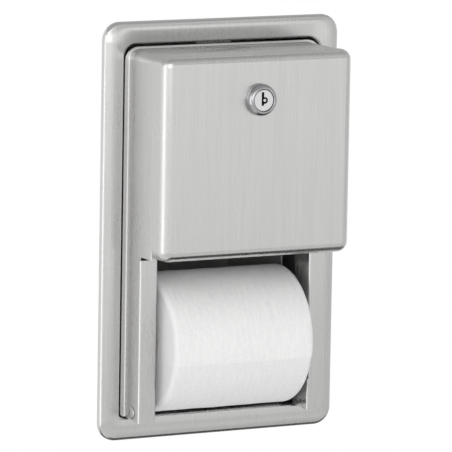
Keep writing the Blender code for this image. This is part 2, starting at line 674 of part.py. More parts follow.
def spring_path():
    """Leg along the back, the coil round the shaft, and the leg hooked under the lever."""
    start_x = -(LEVER_OUTER_X + SPRING_WIRE)
    coil_end_x = start_x - SPRING_TURNS * SPRING_PITCH
    rear_reach = BACK_INNER_Y - PLATE_SHEET - 2 * SEAT_GAP
    steps = 12
    points = [(coil_end_x, rear_reach, SHAFT_Z - SPRING_RADIUS),
              (coil_end_x, SHAFT_Y + SPRING_RADIUS / 2, SHAFT_Z - SPRING_RADIUS)]
    turns = SPRING_TURNS * steps
    for i in range(turns + 1):
        angle = math.radians(-90) - 2 * math.pi * i / steps
        points.append((coil_end_x + (start_x - coil_end_x) * i / turns,
                       SHAFT_Y + SPRING_RADIUS * math.cos(angle),
                       SHAFT_Z + SPRING_RADIUS * math.sin(angle)))
    under = SHAFT_Z - max(LEVER_DEPTH / 2 + SEAT_GAP + SPRING_WIRE / 2, SPRING_RADIUS)
    points += [(start_x, SHAFT_Y - SPRING_LEG + SPRING_WIRE, under),
               (start_x + SPRING_WIRE / 2, SHAFT_Y - SPRING_LEG, under),
               (-LEVER_INNER_X, SHAFT_Y - SPRING_LEG, under)]
    return points


def build_release_yoke():
    shaft_hole = arc((SHAFT_Y, SHAFT_Z), SHAFT_RUNNING_RADIUS, 0, 360, SMALL_ROUND_STEPS)[:-1]
    for name, side in SIDES:
        faces = sorted((side * LEVER_INNER_X, side * LEVER_OUTER_X))
        flat_plate(f"release_lever_{name}", [lever_outline(), shaft_hole], *faces, INNER_STEEL)
    spring_span = SPRING_TURNS * SPRING_PITCH + 2 * SPRING_WIRE
    left_clip = -(LEVER_OUTER_X + spring_span + SEAT_GAP)
    right_clip = LEVER_OUTER_X + SEAT_GAP
    overhang = 2 * CLIP_THICKNESS
    rod("cross_shaft", (left_clip - CLIP_THICKNESS - overhang, SHAFT_Y, SHAFT_Z),
        (right_clip + CLIP_THICKNESS + overhang, SHAFT_Y, SHAFT_Z), SHAFT_DIAMETER / 2,
        SMALL_ROUND_STEPS, INNER_STEEL)
    ring = [(SHAFT_RUNNING_RADIUS, CLIP_THICKNESS), (CLIP_DIAMETER / 2, CLIP_THICKNESS),
            (CLIP_DIAMETER / 2, 0.0), (SHAFT_RUNNING_RADIUS, 0.0)]
    for name, x, turn in (("left", left_clip, TOWARDS_LEFT), ("right", right_clip, TOWARDS_RIGHT)):
        turned(f"shaft_clip_{name}", ring, (x, SHAFT_Y, SHAFT_Z), turn, SMALL_ROUND_STEPS,
               DARK_STEEL, closed=True)

    curve = bpy.data.curves.new("lever_spring", "CURVE")
    curve.dimensions = "3D"
    curve.bevel_depth = SPRING_WIRE / 2
    curve.bevel_resolution = 1
    curve.use_fill_caps = True
    curve.render_resolution_u = 0
    points = spring_path()
    spline = curve.splines.new("POLY")
    spline.points.add(len(points) - 1)
    for point, place_of_point in zip(spline.points, points):
        point.co = (*place_of_point, 1.0)
    place(bpy.data.objects.new("lever_spring", curve), DARK_STEEL)


# Door

def lip_columns():
    """Section through the lip and its bend: outward offset, Y, and share of the way inward."""
    lip_out = DOOR_SIDE_CLEARANCE - LIP_GAP
    radius = LIP_BEND_RADIUS
    bend = [(radius + radius * math.cos(math.radians(a)), LIP_Y - radius + radius * math.sin(math.radians(a)))
            for a in [90 + 90 * i / BEND_STEPS for i in range(BEND_STEPS + 1)]]
    return [(lip_out, LIP_Y)] + bend


def frame_point(offset, y, row):
    """Place of a section point on the wrapper's path, up the side and over the top."""
    kind, value = row
    if kind == "side":
        return (-(DOOR_SIDE_X + offset), y, value)
    centre_x, centre_z = WRAP_CORNER_RADIUS - DOOR_SIDE_X, DOOR_TOP_Z - WRAP_CORNER_RADIUS
    if kind == "corner":
        reach = WRAP_CORNER_RADIUS + offset
        return (centre_x - reach * math.cos(value), y, centre_z + reach * math.sin(value))
    return (value, y, DOOR_TOP_Z + offset)


def foot_rise(y):
    """The arm's foot slopes down towards the front."""
    return ARM_FOOT_Z - ARM_FOOT_DROP * (LIP_Y - y) / ARM_DEPTH


def build_door_frame():
    lip = lip_columns()
    arm_start = ARM_FRONT_Y + ARM_BEND_RADIUS
    forward = rounded_path([(0.0, arm_start), (0.0, WRAP_FRONT_Y), (-WRAP_FLANGE, WRAP_FRONT_Y)],
                           [WRAP_EDGE_RADIUS])[1:]
    arm = rounded_path([(0.0, arm_start), (0.0, ARM_FRONT_Y), (-ARM_WIDTH, ARM_FRONT_Y),
                        (-ARM_WIDTH, LIP_Y)], [ARM_BEND_RADIUS, ARM_BEND_RADIUS])[2:]
    shared = lip + [(0.0, arm_start)]

    corner_angles = [math.radians(90) * (i + 1) / CORNER_STEPS for i in range(CORNER_STEPS)]
    upper_rows = [("side", PAN_FOOT_Z), ("side", DOOR_TOP_Z - WRAP_CORNER_RADIUS)]
    upper_rows += [("corner", angle) for angle in corner_angles]
    upper_rows += [("top", (WRAP_CORNER_RADIUS - DOOR_SIDE_X) / 2), ("top", 0.0)]
    foot_shares = (0.0, 0.13, 0.5, 1.0)

    def share_over(row):
        if row[0] == "side":
            return 0.0
        return math.sin(row[1]) ** 2 if row[0] == "corner" else 1.0

    def shared_points(row):
        points = []
        over = share_over(row)
        for number, (offset, y) in enumerate(shared):
            if number == 0:
                offset += (DOOR_TOP_CLEARANCE - DOOR_SIDE_CLEARANCE) * over
            points.append(frame_point(offset, y, row))
        return points

    def foot_points(section, share, is_lip):
        points = []
        for number, (offset, y) in enumerate(section):
            rise = LIP_CORNER_RADIUS * share
            if is_lip and number == 0:
                missing = LIP_CORNER_RADIUS - rise
                offset -= LIP_CORNER_RADIUS - math.sqrt(LIP_CORNER_RADIUS ** 2 - missing ** 2)
            points.append(frame_point(offset, y, ("side", foot_rise(y) + rise)))
        return points

    shape = bmesh.new()

    def add_row(points):
        return [shape.verts.new(point) for point in points]

    def skin(near, far):
        for i in range(1, len(near)):
            shape.faces.new((near[i - 1], near[i], far[i], far[i - 1]))

    shared_rows = [add_row(foot_points(shared, share, True)) for share in foot_shares]
    shared_rows.append(add_row([frame_point(o, y, ("side", ARM_TOP_Z)) for o, y in shared]))
    arm_rows = [add_row(foot_points(arm, share, False)) for share in foot_shares]
    arm_rows.append(add_row([frame_point(o, y, ("side", ARM_TOP_Z)) for o, y in arm]))
    for number in range(1, len(shared_rows)):
        skin(shared_rows[number - 1], shared_rows[number])
        skin([shared_rows[number - 1][-1]] + arm_rows[number - 1],
             [shared_rows[number][-1]] + arm_rows[number])

    lower = shared_rows[-1]
    forward_lower = None
    for row in upper_rows:
        upper = add_row(shared_points(row))
        forward_upper = add_row([frame_point(o, y, row) for o, y in forward])
        skin(lower, upper)
        if forward_lower:
            skin([lower[-1]] + forward_lower, [upper[-1]] + forward_upper)
        lower, forward_lower = upper, forward_upper

    turn_outward(shape, Vector((0.0, SPINDLE_Y, 0.0)))
    frame = mesh_object("door_frame", shape, SATIN)
    mirror = frame.modifiers.new("other half", "MIRROR")
    mirror.merge_threshold = SEAT_GAP / 10
    solidify(frame, DOOR_SHEET)

    for name, side in SIDES:
        start = side * (DOOR_SIDE_X - DOOR_SHEET - CUT_OVERRUN)
        cut(frame, rod(f"arm_hole_{name}", (start, PIVOT_Y, PIVOT_Z),
                       (side * (DOOR_SIDE_X + CUT_OVERRUN), PIVOT_Y, PIVOT_Z),
                       RIVET_SHANK_DIAMETER / 2 + SEAT_GAP, 2 * SMALL_ROUND_STEPS))
        inner = side * (DOOR_SIDE_X - ARM_WIDTH)
        ends = sorted((inner - side * CUT_OVERRUN, inner + side * ARM_RELIEF_DEPTH))
        foot = ARM_FOOT_Z - ARM_FOOT_DROP + ARM_RELIEF_ABOVE_FOOT
        cut(frame, box(f"arm_relief_{name}", (ends[0], ARM_FRONT_Y - CUT_OVERRUN, foot),
                       (ends[1], ARM_FRONT_Y + 2 * ARM_BEND_RADIUS, foot + ARM_RELIEF_HEIGHT)))


def build_front_pan():
    half_width = DOOR_SIDE_X + PAN_PROUD
    half_height, middle = (PAN_TOP_Z - PAN_FOOT_Z) / 2, (PAN_TOP_Z + PAN_FOOT_Z) / 2
    path = rounded_path([(0.0, PAN_REAR_Y), (0.0, PAN_FRONT_Y), (PAN_CORNER_RADIUS, PAN_FRONT_Y)],
                        [PAN_EDGE_RADIUS], 2 * BEND_STEPS)[:-1]
    loops = []
    for inset, y in path:
        outline = rounded_rectangle(half_width - inset, half_height - inset,
                                    PAN_CORNER_RADIUS - inset, middle)
        loops.append([(x, y, z) for x, z in outline])
    pan = loft("door_front_pan", loops, True, (0.0, SPINDLE_Y, middle), SATIN)
    solidify(pan, DOOR_SHEET)
    cut(pan, rod("lock_hole", (0.0, PAN_INNER_Y + CUT_OVERRUN, LOCK_Z),
                 (0.0, PAN_FRONT_Y - CUT_OVERRUN, LOCK_Z), LOCK_BODY_DIAMETER / 2 + SEAT_GAP,
                 ROUND_STEPS))


def build_door_guides():
    top = RESERVE_SPINDLE_Z + GUIDE_TOP_ABOVE_RESERVE
    foot = PAN_FOOT_Z + DOOR_SHEET + SEAT_GAP
    side_face = DOOR_SIDE_X - DOOR_SHEET - SEAT_GAP
    for name, side in SIDES:
        front = ARM_FRONT_Y + DOOR_SHEET
        path = rounded_path([(side_face, front + GUIDE_SIDE_LEG), (side_face, front),
                             (DOOR_SIDE_X - ARM_WIDTH, front), (DOOR_SIDE_X - ARM_WIDTH, LIP_Y)],
                            [ARM_BEND_RADIUS, ARM_BEND_RADIUS])
        rows = [[(side * x, y, z) for x, y in path] for z in (foot, top)]
        bent_strip(f"door_guide_{name}", rows, (side * (side_face + DOOR_SIDE_X - ARM_WIDTH) / 2,
                                                LIP_Y, (foot + top) / 2), DOOR_SHEET, INNER_STEEL)


# Lock

def build_lock():
    face = COLLAR_FACE_DIAMETER / 2
    bore = PLUG_FACE_DIAMETER / 2 + SEAT_GAP
    base = COLLAR_DIAMETER / 2
    collar = [(bore, COLLAR_HEIGHT), (face, COLLAR_HEIGHT)]
    collar += [(face + (base - face) * math.sin(math.radians(a)),
                COLLAR_EDGE_HEIGHT + (COLLAR_HEIGHT - COLLAR_EDGE_HEIGHT) * math.cos(math.radians(a)))
               for a in (20, 40, 60, 78)]
    collar += [(base, COLLAR_EDGE_HEIGHT), (base, 0.0), (bore, 0.0)]
    turned("lock_collar", collar, (0.0, PAN_FRONT_Y - SEAT_GAP, LOCK_Z), OUT_OF_WALL, ROUND_STEPS,
           CHROME, closed=True)

    front = -(PAN_FRONT_Y - SEAT_GAP) + COLLAR_HEIGHT - PLUG_FACE_RECESS
    head_rear = front - PLUG_HEAD_THICKNESS
    body_front = head_rear - SEAT_GAP
    body_rear = -LOCK_BODY_REAR_Y
    stem_bore = PLUG_STEM_DIAMETER / 2 + SEAT_GAP
    collar_fit = bore - 2 * SEAT_GAP
    thread = LOCK_BODY_DIAMETER / 2
    body = [(stem_bore, body_front), (collar_fit, body_front), (collar_fit, -PAN_FRONT_Y),
            (thread, -PAN_FRONT_Y), (thread, body_rear), (stem_bore, body_rear)]
    turned("lock_body", body, (0.0, 0.0, LOCK_Z), OUT_OF_WALL, ROUND_STEPS, CHROME, closed=True)

    stem, stub = PLUG_STEM_DIAMETER / 2, TONGUE_STUB_DIAMETER / 2
    screw_bore = TONGUE_SCREW_DIAMETER / 2 + SEAT_GAP
    stub_end = body_rear - SEAT_GAP - TONGUE_THICKNESS
    plug = [(0.0, front), (PLUG_FACE_DIAMETER / 2 - SEAT_GAP, front),
            (PLUG_FACE_DIAMETER / 2, front - SEAT_GAP), (PLUG_FACE_DIAMETER / 2, head_rear),
            (stem, head_rear), (stem, body_rear), (stub, body_rear), (stub, stub_end),
            (screw_bore, stub_end), (screw_bore, stub_end + TONGUE_SCREW_DEPTH),
            (0.0, stub_end + TONGUE_SCREW_DEPTH)]
    plug_object = turned("lock_plug", plug, (0.0, 0.0, LOCK_Z), OUT_OF_WALL, ROUND_STEPS, CHROME)
    cut(plug_object, box("key_slot", (-KEY_SLOT_WIDTH / 2, -front - CUT_OVERRUN,
                                      LOCK_Z - KEY_SLOT_HEIGHT / 2),
                         (KEY_SLOT_WIDTH / 2, KEY_SLOT_DEPTH - front,
                          LOCK_Z + KEY_SLOT_HEIGHT / 2)))

    nut_radius = LOCK_NUT_WIDTH / math.sqrt(3)
    nut_front = PAN_INNER_Y + SEAT_GAP
    nut = rod("lock_nut", (0.0, nut_front, LOCK_Z), (0.0, nut_front + LOCK_NUT_THICKNESS, LOCK_Z),
              nut_radius, 6, BRASS)
    cut(nut, rod("nut_bore", (0.0, nut_front - CUT_OVERRUN, LOCK_Z),
                 (0.0, nut_front + LOCK_NUT_THICKNESS + CUT_OVERRUN, LOCK_Z), thread + SEAT_GAP,
                 ROUND_STEPS))

    half = TONGUE_WIDTH / 2
    outline = arc((0.0, 0.0), half, -90, 90, 2 * BEND_STEPS)
    outline += arc((-TONGUE_REACH + half, 0.0), half, 90, 270, 2 * BEND_STEPS)
    hole = arc((0.0, 0.0), stub + SEAT_GAP, 0, 360, SMALL_ROUND_STEPS)[:-1]
    tongue = flat_plate("latch_tongue", [outline, hole], 0.0, TONGUE_THICKNESS, STEEL_ZINC)
    tongue.location = (0.0, TONGUE_FRONT_Y, LOCK_Z)
    tongue.data.transform(Matrix(((0, 1, 0, 0), (1, 0, 0, 0), (0, 0, 1, 0), (0, 0, 0, 1))))
    tongue.data.flip_normals()

    head = TONGUE_SCREW_HEAD / 2
    head_front = stub_end - SEAT_GAP
    screw = [(0.0, stub_end + TONGUE_SCREW_DEPTH - SEAT_GAP),
             (TONGUE_SCREW_DIAMETER / 2, stub_end + TONGUE_SCREW_DEPTH - SEAT_GAP),
             (TONGUE_SCREW_DIAMETER / 2, head_front), (head, head_front),
             (head, head_front - TONGUE_THICKNESS / 2), (head * 0.7, head_front - TONGUE_THICKNESS),
             (0.0, head_front - TONGUE_THICKNESS)]
    turned("tongue_screw", screw, (0.0, 0.0, LOCK_Z), OUT_OF_WALL, SMALL_ROUND_STEPS, STEEL_ZINC)


# Rolls and spindles

def build_spindle(name, z):
    shoulder = PLATE_INNER_X - SPINDLE_END_PLAY
    end = PLATE_OUTER_X + JOURNAL_LENGTH - LEVER_SHEET
    barrel, waist, journal = SPINDLE_DIAMETER / 2, SPINDLE_WAIST_DIAMETER / 2, JOURNAL_DIAMETER / 2
    half = [(0.0, end), (journal - SPINDLE_CHAMFER, end), (journal, end - SPINDLE_CHAMFER),
            (journal, shoulder), (barrel - SPINDLE_CHAMFER, shoulder),
            (barrel, shoulder - SPINDLE_CHAMFER), (barrel, shoulder - SPINDLE_COLLAR_WIDTH),
            (waist, shoulder - SPINDLE_COLLAR_WIDTH - SPINDLE_CHAMFER)]
    middle_collar = SPINDLE_COLLAR_WIDTH / 2
    half += [(waist, middle_collar + SPINDLE_CHAMFER), (barrel, middle_collar)]
    profile = half + [(radius, -height) for radius, height in reversed(half)]
    turned(name, profile, (0.0, SPINDLE_Y, z), TOWARDS_RIGHT, SPINDLE_STEPS, SPINDLE_PLASTIC)


def build_roll(prefix, z):
    """Core tube, and paper whose outside runs in a spiral to its loose end, pushed to the left."""
    bore, outer = CORE_BORE_DIAMETER / 2, CORE_BORE_DIAMETER / 2 + CORE_WALL
    half = ROLL_WIDTH / 2
    tube = [(bore, half), (outer, half), (outer, -half), (bore, -half)]
    middle = (-ROLL_SIDE_PLAY, SPINDLE_Y, z)
    turned(f"{prefix}_roll_core", tube, middle, TOWARDS_RIGHT, ROUND_STEPS, CARD, closed=True)
    outline = []
    for i in range(ROLL_STEPS + 1):
        radius = ROLL_RADIUS - SHEET_END_STEP * i / ROLL_STEPS
        outline += arc((0.0, 0.0), radius, SHEET_END_ANGLE + 360 * i / ROLL_STEPS, 0, 1)[:1]
    hole = arc((0.0, 0.0), outer + SEAT_GAP, 0, 360, ROUND_STEPS)[:-1]
    paper = flat_plate(f"{prefix}_roll_paper", [outline, hole], -half, half, PAPER)
    paper.location = middle


clear_scene()
PARTS = new_collection("double_roll_toilet_paper_dispenser")
CUTTERS = new_collection("cutters")
SATIN = new_material("satin_stainless", (0.56, 0.56, 0.55), 0.36, 1.0)
INNER_STEEL = new_material("mill_stainless", (0.42, 0.42, 0.42), 0.42, 1.0)
RIVET_STEEL = new_material("rivet_stainless", (0.5, 0.5, 0.5), 0.34, 1.0)
DARK_STEEL = new_material("spring_steel", (0.2, 0.2, 0.21), 0.4, 1.0)
STEEL_ZINC = new_material("zinc_plated", (0.6, 0.6, 0.62), 0.35, 1.0)
CHROME = new_material("chrome", (0.8, 0.8, 0.81), 0.08, 1.0)
BRASS = new_material("brass", (0.66, 0.5, 0.25), 0.35, 1.0)
WHITE_PLASTIC = new_material("nylon", (0.75, 0.74, 0.7), 0.5, 0.0)
SPINDLE_PLASTIC = new_material("moulded_plastic", (0.05, 0.05, 0.055), 0.45, 0.0)
PAPER = new_material("tissue", (0.86, 0.86, 0.87), 0.9, 0.0)
CARD = new_material("card", (0.48, 0.37, 0.26), 0.85, 0.0)

build_trim_flange()
build_cabinet()
build_side_plates()
build_hinge()
build_keeper()
build_release_yoke()
build_door_frame()
build_front_pan()
build_door_guides()
build_lock()
build_spindle("lower_spindle", LOWER_SPINDLE_Z)
build_spindle("reserve_spindle", RESERVE_SPINDLE_Z)
build_roll("lower", LOWER_ROLL_Z)
build_roll("reserve", RESERVE_ROLL_Z)
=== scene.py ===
"""Dressed model of a recessed double roll toilet paper dispenser in satin stainless steel.

X runs to the right, Y into the wall and Z up. The face of the wall is the plane Y = 0. The sheet
pieces that show from outside, the lock's face, the pivot rivets and both rolls are drawn finely
here. Every other piece is a clean copy of its solid with eased sheet edges.
"""
import json
import math

import bmesh
import bpy
from mathutils import Matrix, Vector


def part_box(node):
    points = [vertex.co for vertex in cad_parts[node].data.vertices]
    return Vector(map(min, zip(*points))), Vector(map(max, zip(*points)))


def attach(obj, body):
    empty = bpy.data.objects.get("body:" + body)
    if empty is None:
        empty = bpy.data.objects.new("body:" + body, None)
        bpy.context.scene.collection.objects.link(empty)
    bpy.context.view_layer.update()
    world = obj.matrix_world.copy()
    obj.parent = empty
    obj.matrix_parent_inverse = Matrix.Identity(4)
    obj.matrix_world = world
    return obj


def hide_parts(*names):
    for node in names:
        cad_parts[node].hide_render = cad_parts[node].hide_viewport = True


# Camera
CAMERA_PLACE = (-1.784086, -3.322546, 0.555403)
CAMERA_RIGHT = (0.88119379, -0.47244632, 0.01708753)
CAMERA_UP = (0.05396011, 0.13642176, 0.98918017)
CAMERA_BACK = (-0.46966564, -0.87073738, 0.14570727)
CAMERA_LENS = 395.93
SENSOR_WIDTH = 36.0
CAMERA_REACH = 20.0

# Trim flange. The crowns give width, height, height at the opening and radius
FLANGE_CORNER_RADIUS = 0.014
FLANGE_SHEET = 0.0008
FLANGE_RIM_HEIGHT = 0.0046
FLANGE_RIM_RADIUS = 0.003
FLANGE_SIDE_CROWN = (0.0075, 0.0069, 0.0065, 0.02)
FLANGE_TOP_CROWN = (0.0042, 0.0061, 0.0052, 0.01)
FLANGE_SIDE_MARGIN = 0.016
FLANGE_TOP_MARGIN = 0.01705
FLANGE_FOOT_MARGIN = 0.01805
OPENING_TOP_RADIUS = 0.011
OPENING_FOOT_RADIUS = 0.003
OPENING_EDGE_RADIUS = 0.0018

# Door front pan
DOOR_SHEET = 0.001
PAN_EDGE_RADIUS = 0.0075
PAN_CORNER_RADIUS = 0.0085
LOCK_HOLE_RADIUS = 0.0098
LIP_FRONT = -0.0102
LIP_SEAT = 0.0028

# Lock
PLUG_FACE_RADIUS = 0.0082
PLUG_CLEARANCE = 0.0003
PLUG_RIM_DEPTH = 0.0024
PLUG_BODY_RADIUS = 0.0062
PLUG_TAIL_RADIUS = 0.0035
PLUG_TAIL_LENGTH = 0.0026
COLLAR_FACE_RADIUS = 0.0092
COLLAR_EDGE_HEIGHT = 0.0014
COLLAR_GROOVE_DEPTH = 0.0003
KEY_SLOT_WIDTH = 0.0021
KEY_SLOT_HEIGHT = 0.0103
KEY_SLOT_DEPTH = 0.0045
KEY_SLOT_OFFSET = (-0.0009, 0.0012)
KEY_POST_RADIUS = 0.0025
KEY_POST_SIDE = 0.0009
KEY_POST_SHIFT = 0.0003
KEY_POST_SUNK = 0.0006
KEY_POST_PROFILE = [(0.0, 0.0004), (0.0007, 0.00035), (0.0012, 0.0001), (0.0014, -0.0003),
                    (0.0014, -KEY_SLOT_DEPTH), (0.0, -KEY_SLOT_DEPTH)]

# Pivot rivets
RIVET_HEAD_HEIGHT = 0.001
RIVET_SHANK_RADIUS = 0.003
RIVET_TAIL_LENGTH = 0.0015
RIVET_TAIL_RADIUS = 0.0041
RIVET_TAIL_CHAMFER = 0.001

# Rolls
CORE_OUTER_RADIUS = 0.0218
SHEET_END_STEP = 0.0008
SHEET_END_ANGLE = 191.5
ROLL_EDGE_RADIUS = 0.004
ROLL_EDGE_ANGLES = (0, 22, 45, 67, 90)
ROLL_UNEVENNESS = 0.00022
ROLL_WAVES = ((3, 40, 0.0), (7, -90, 1.3), (2, 210, 0.0))

# Finish of the sheet edges
EASED_EDGE = 0.00018
WELL_EASED_EDGE = 0.0004
EASED_STEPS = 2
SHARP_ANGLE = math.radians(35)
FLAT_ANGLE = math.radians(0.5)
WELD = 0.00001
OVERRUN = 0.004

# Grain of the finishes: how fine it is, how far it is drawn out, and its shares
LINE_FINENESS = 2300.0
LINE_STRETCH = 0.011
BAND_FINENESS = 420.0
BAND_STRETCH = 0.03
BAND_SHARE = 0.4
LEVEL_LINE_SHARE = 0.4
LEVEL_FACING = 0.7
STREAK_FINENESS = 620.0
STREAK_ROUND = 0.004
DIMPLE_FINENESS = 420.0
FIBRE_FINENESS = 2600.0
RING_WANDER = 3.0
END_FACING = 0.8
SHEET_END_WAVE = 0.0012
SHEET_END_SHADE = 0.35
SHEET_END_SHADE_REACH = 0.03
SEAM_WIDTH = 0.012

# Fineness
CORNER_STEPS = 16
BEND_STEPS = 7
ROUND_STEPS = 96
SMALL_ROUND_STEPS = 48
ROLL_STEPS = 288
ROLL_BANDS = 36

# Stage
WALL_REACH = 3.0
WALL_HOLE_HALF_WIDTH = 0.088
WALL_HOLE_HALF_HEIGHT = 0.146
FLOOR_DROP = 0.9
FLOOR_WHITE = 0.6
ROOM_LEVEL = 0.62

# Which finish each piece has
FINISHES = {
    "mill_stainless": ["cabinet_wrapper", "cabinet_back", "side_plate_left", "side_plate_right",
                       "hinge_bracket_left", "hinge_bracket_right", "latch_keeper",
                       "release_lever_left", "release_lever_right", "cross_shaft",
                       "door_guide_left", "door_guide_right"],
    "satin_stainless": ["door_frame"],
    "rivet_stainless": ["plate_rivet_1", "plate_rivet_2", "plate_rivet_3", "plate_rivet_4",
                        "bracket_rivet_left_1", "bracket_rivet_left_2", "bracket_rivet_right_1",
                        "bracket_rivet_right_2", "keeper_rivet_1", "keeper_rivet_2"],
    "spring_steel": ["lever_spring", "shaft_clip_left", "shaft_clip_right"],
    "zinc_plated": ["latch_tongue", "tongue_screw"],
    "chrome": ["lock_body"],
    "brass": ["lock_nut"],
    "nylon": ["pivot_washer_left", "pivot_washer_right"],
    "moulded_plastic": ["lower_spindle", "reserve_spindle"],
    "card": ["lower_roll_core", "reserve_roll_core"],
}
EDGE_WIDTHS = {"lever_spring": 0, "lower_roll_core": 0, "reserve_roll_core": 0,
               "door_frame": WELL_EASED_EDGE}

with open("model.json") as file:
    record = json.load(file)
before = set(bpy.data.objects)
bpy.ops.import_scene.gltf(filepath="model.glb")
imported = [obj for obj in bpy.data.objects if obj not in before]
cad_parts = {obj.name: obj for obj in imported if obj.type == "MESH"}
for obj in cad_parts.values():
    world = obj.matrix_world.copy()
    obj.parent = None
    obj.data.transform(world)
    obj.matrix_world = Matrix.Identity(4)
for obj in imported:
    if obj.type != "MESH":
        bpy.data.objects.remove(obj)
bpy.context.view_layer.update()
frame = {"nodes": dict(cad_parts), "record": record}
BODY_OF = {node: body for body, nodes in frame["record"]["behaviour"]["bodies"].items()
           for node in nodes}


# Mesh helpers

def arc(centre, radius, start, end, steps):
    """Points on an arc in a plane, angles in degrees."""
    angles = [math.radians(start + (end - start) * i / steps) for i in range(steps + 1)]
    return [(centre[0] + radius * math.cos(a), centre[1] + radius * math.sin(a)) for a in angles]


def rounded_path(corners, radii, steps=BEND_STEPS):
    """Straight runs between corner points, with each inner corner bent to its radius."""
    corners = [Vector(corner) for corner in corners]
    path = [corners[0]]
    for before, corner, after, radius in zip(corners, corners[1:], corners[2:], radii):
        back, ahead = (before - corner).normalized(), (after - corner).normalized()
        half = back.angle(ahead) / 2
        centre = corner + (back + ahead).normalized() * (radius / math.sin(half))
        first = corner + back * (radius / math.tan(half)) - centre
        last = corner + ahead * (radius / math.tan(half)) - centre
        for i in range(steps + 1):
            path.append(centre + first.lerp(last, i / steps).normalized() * radius)
    path.append(corners[-1])
    return [tuple(point) for point in path]


def rounded_rectangle(half_width, low, high, foot_radius, top_radius):
    """Outline in X and Z, counter-clockwise from the lower right corner."""
    outline = []
    for quarter, (side, end) in enumerate(((1, -1), (1, 1), (-1, 1), (-1, -1))):
        radius = top_radius if end > 0 else foot_radius
        centre = (side * (half_width - radius), (high if end > 0 else low) - end * radius)
        outline += arc(centre, radius, 90 * quarter - 90, 90 * quarter, CORNER_STEPS)
    return outline


def turn_outward(shape, inside):
    """Flip an open sheet whose faces look towards the given inner point on the whole."""
    shape.normal_update()
    lean = sum(face.normal.dot(face.calc_center_median() - inside) * face.calc_area()
               for face in shape.faces)
    if lean < 0:
        bmesh.ops.reverse_faces(shape, faces=shape.faces[:])


def new_piece(name, shape, finish):
    mesh = bpy.data.meshes.new(name)
    shape.to_mesh(mesh)
    shape.free()
    if "custom_normal" in mesh.attributes:
        mesh.attributes.remove(mesh.attributes["custom_normal"])
    mesh.materials.clear()
    mesh.materials.append(MATERIALS[finish])
    mesh.shade_smooth()
    mesh.set_sharp_from_angle(angle=SHARP_ANGLE)
    piece = bpy.data.objects.new(name, mesh)
    bpy.context.scene.collection.objects.link(piece)
    return piece


def solidify(piece, thickness):
    shell = piece.modifiers.new("thickness", "SOLIDIFY")
    shell.thickness = thickness
    shell.offset = -1.0
    shell.use_even_offset = True


def cut(piece, cutter):
    hole = piece.modifiers.new("cut", "BOOLEAN")
    hole.operation = "DIFFERENCE"
    hole.solver = "EXACT"
    hole.object = cutter


def bake(piece, cutters=()):
    """Turn the modifiers so far into plain mesh, and clear away their cutters."""
    reader = bpy.context.evaluated_depsgraph_get()
    mesh = bpy.data.meshes.new_from_object(piece.evaluated_get(reader))
    piece.modifiers.clear()
    piece.data = mesh
    for cutter in cutters:
        bpy.data.objects.remove(cutter, do_unlink=True)
    mesh.shade_smooth()
    mesh.set_sharp_from_angle(angle=SHARP_ANGLE)


def ease_edges(piece, width=EASED_EDGE):
    """A small round on each sharp edge, and shading that keeps the flat faces flat."""
    if width:
        bevel = piece.modifiers.new("eased edges", "BEVEL")
        bevel.width = width
        bevel.segments = EASED_STEPS
        bevel.limit_method = "ANGLE"
        bevel.angle_limit = SHARP_ANGLE
        bevel.use_clamp_overlap = True
    shading = piece.modifiers.new("flat faces stay flat", "WEIGHTED_NORMAL")
    shading.weight = 90
    shading.keep_sharp = True


def stands_for(piece, slot, *nodes):
    """Ride on the body of the nodes that the piece replaces, and hide those nodes. The slot
    argument is not used.
    """
    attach(piece, BODY_OF[nodes[0]])
    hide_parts(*nodes)


def loft(name, loops, closed_end, inside):
    """A steel sheet stretched over closed loops of equal length, with an optional flat end."""
    shape = bmesh.new()
    rings = [[shape.verts.new(point) for point in loop] for loop in loops]
    for near, far in zip(rings, rings[1:]):
        for i in range(len(near)):
            shape.faces.new((near[i - 1], near[i], far[i], far[i - 1]))
    if closed_end:
        shape.faces.new(rings[-1])
    turn_outward(shape, Vector(inside))
    return new_piece(name, shape, "satin_stainless")


def rod(name, start, end, radius):
    """A round bar between two points, to cut with."""
    shape = bmesh.new()
    start, end = Vector(start), Vector(end)
    axis = end - start
    bmesh.ops.create_cone(shape, cap_ends=True, segments=ROUND_STEPS, radius1=radius,
                          radius2=radius, depth=axis.length)
    turn = axis.to_track_quat("Z", "Y").to_matrix().to_4x4()
    bmesh.ops.transform(shape, matrix=Matrix.Translation((start + end) / 2) @ turn,
                        verts=shape.verts[:])
    return new_piece(name, shape, "chrome")


def block(name, low, high):
    """A box between two corners, to cut with."""
    shape = bmesh.new()
    bmesh.ops.create_cube(shape, size=1.0)
    low, high = Vector(low), Vector(high)
    for vert in shape.verts:
        vert.co = Vector(a + (b - a) * (c + 0.5) for a, b, c in zip(low, high, vert.co))
    return new_piece(name, shape, "chrome")


def turned(name, profile, centre, axis, finish, steps=ROUND_STEPS, closed=False):
    """A profile of radius and height turned about an axis through a centre."""
    shape = bmesh.new()
    verts = [shape.verts.new((radius, 0.0, height)) for radius, height in profile]
    edges = [shape.edges.new(pair) for pair in zip(verts, verts[1:])]
    if closed:
        edges.append(shape.edges.new((verts[-1], verts[0])))
    bmesh.ops.spin(shape, geom=verts + edges, cent=(0, 0, 0), axis=(0, 0, 1),
                   angle=2 * math.pi, steps=steps, use_merge=True)
    bmesh.ops.remove_doubles(shape, verts=shape.verts[:], dist=WELD)
    bmesh.ops.recalc_face_normals(shape, faces=shape.faces[:])
    turn = Vector(axis).to_track_quat("Z", "Y").to_matrix().to_4x4()
    bmesh.ops.transform(shape, matrix=Matrix.Translation(centre) @ turn, verts=shape.verts[:])
    return new_piece(name, shape, finish)


# Shader node groups

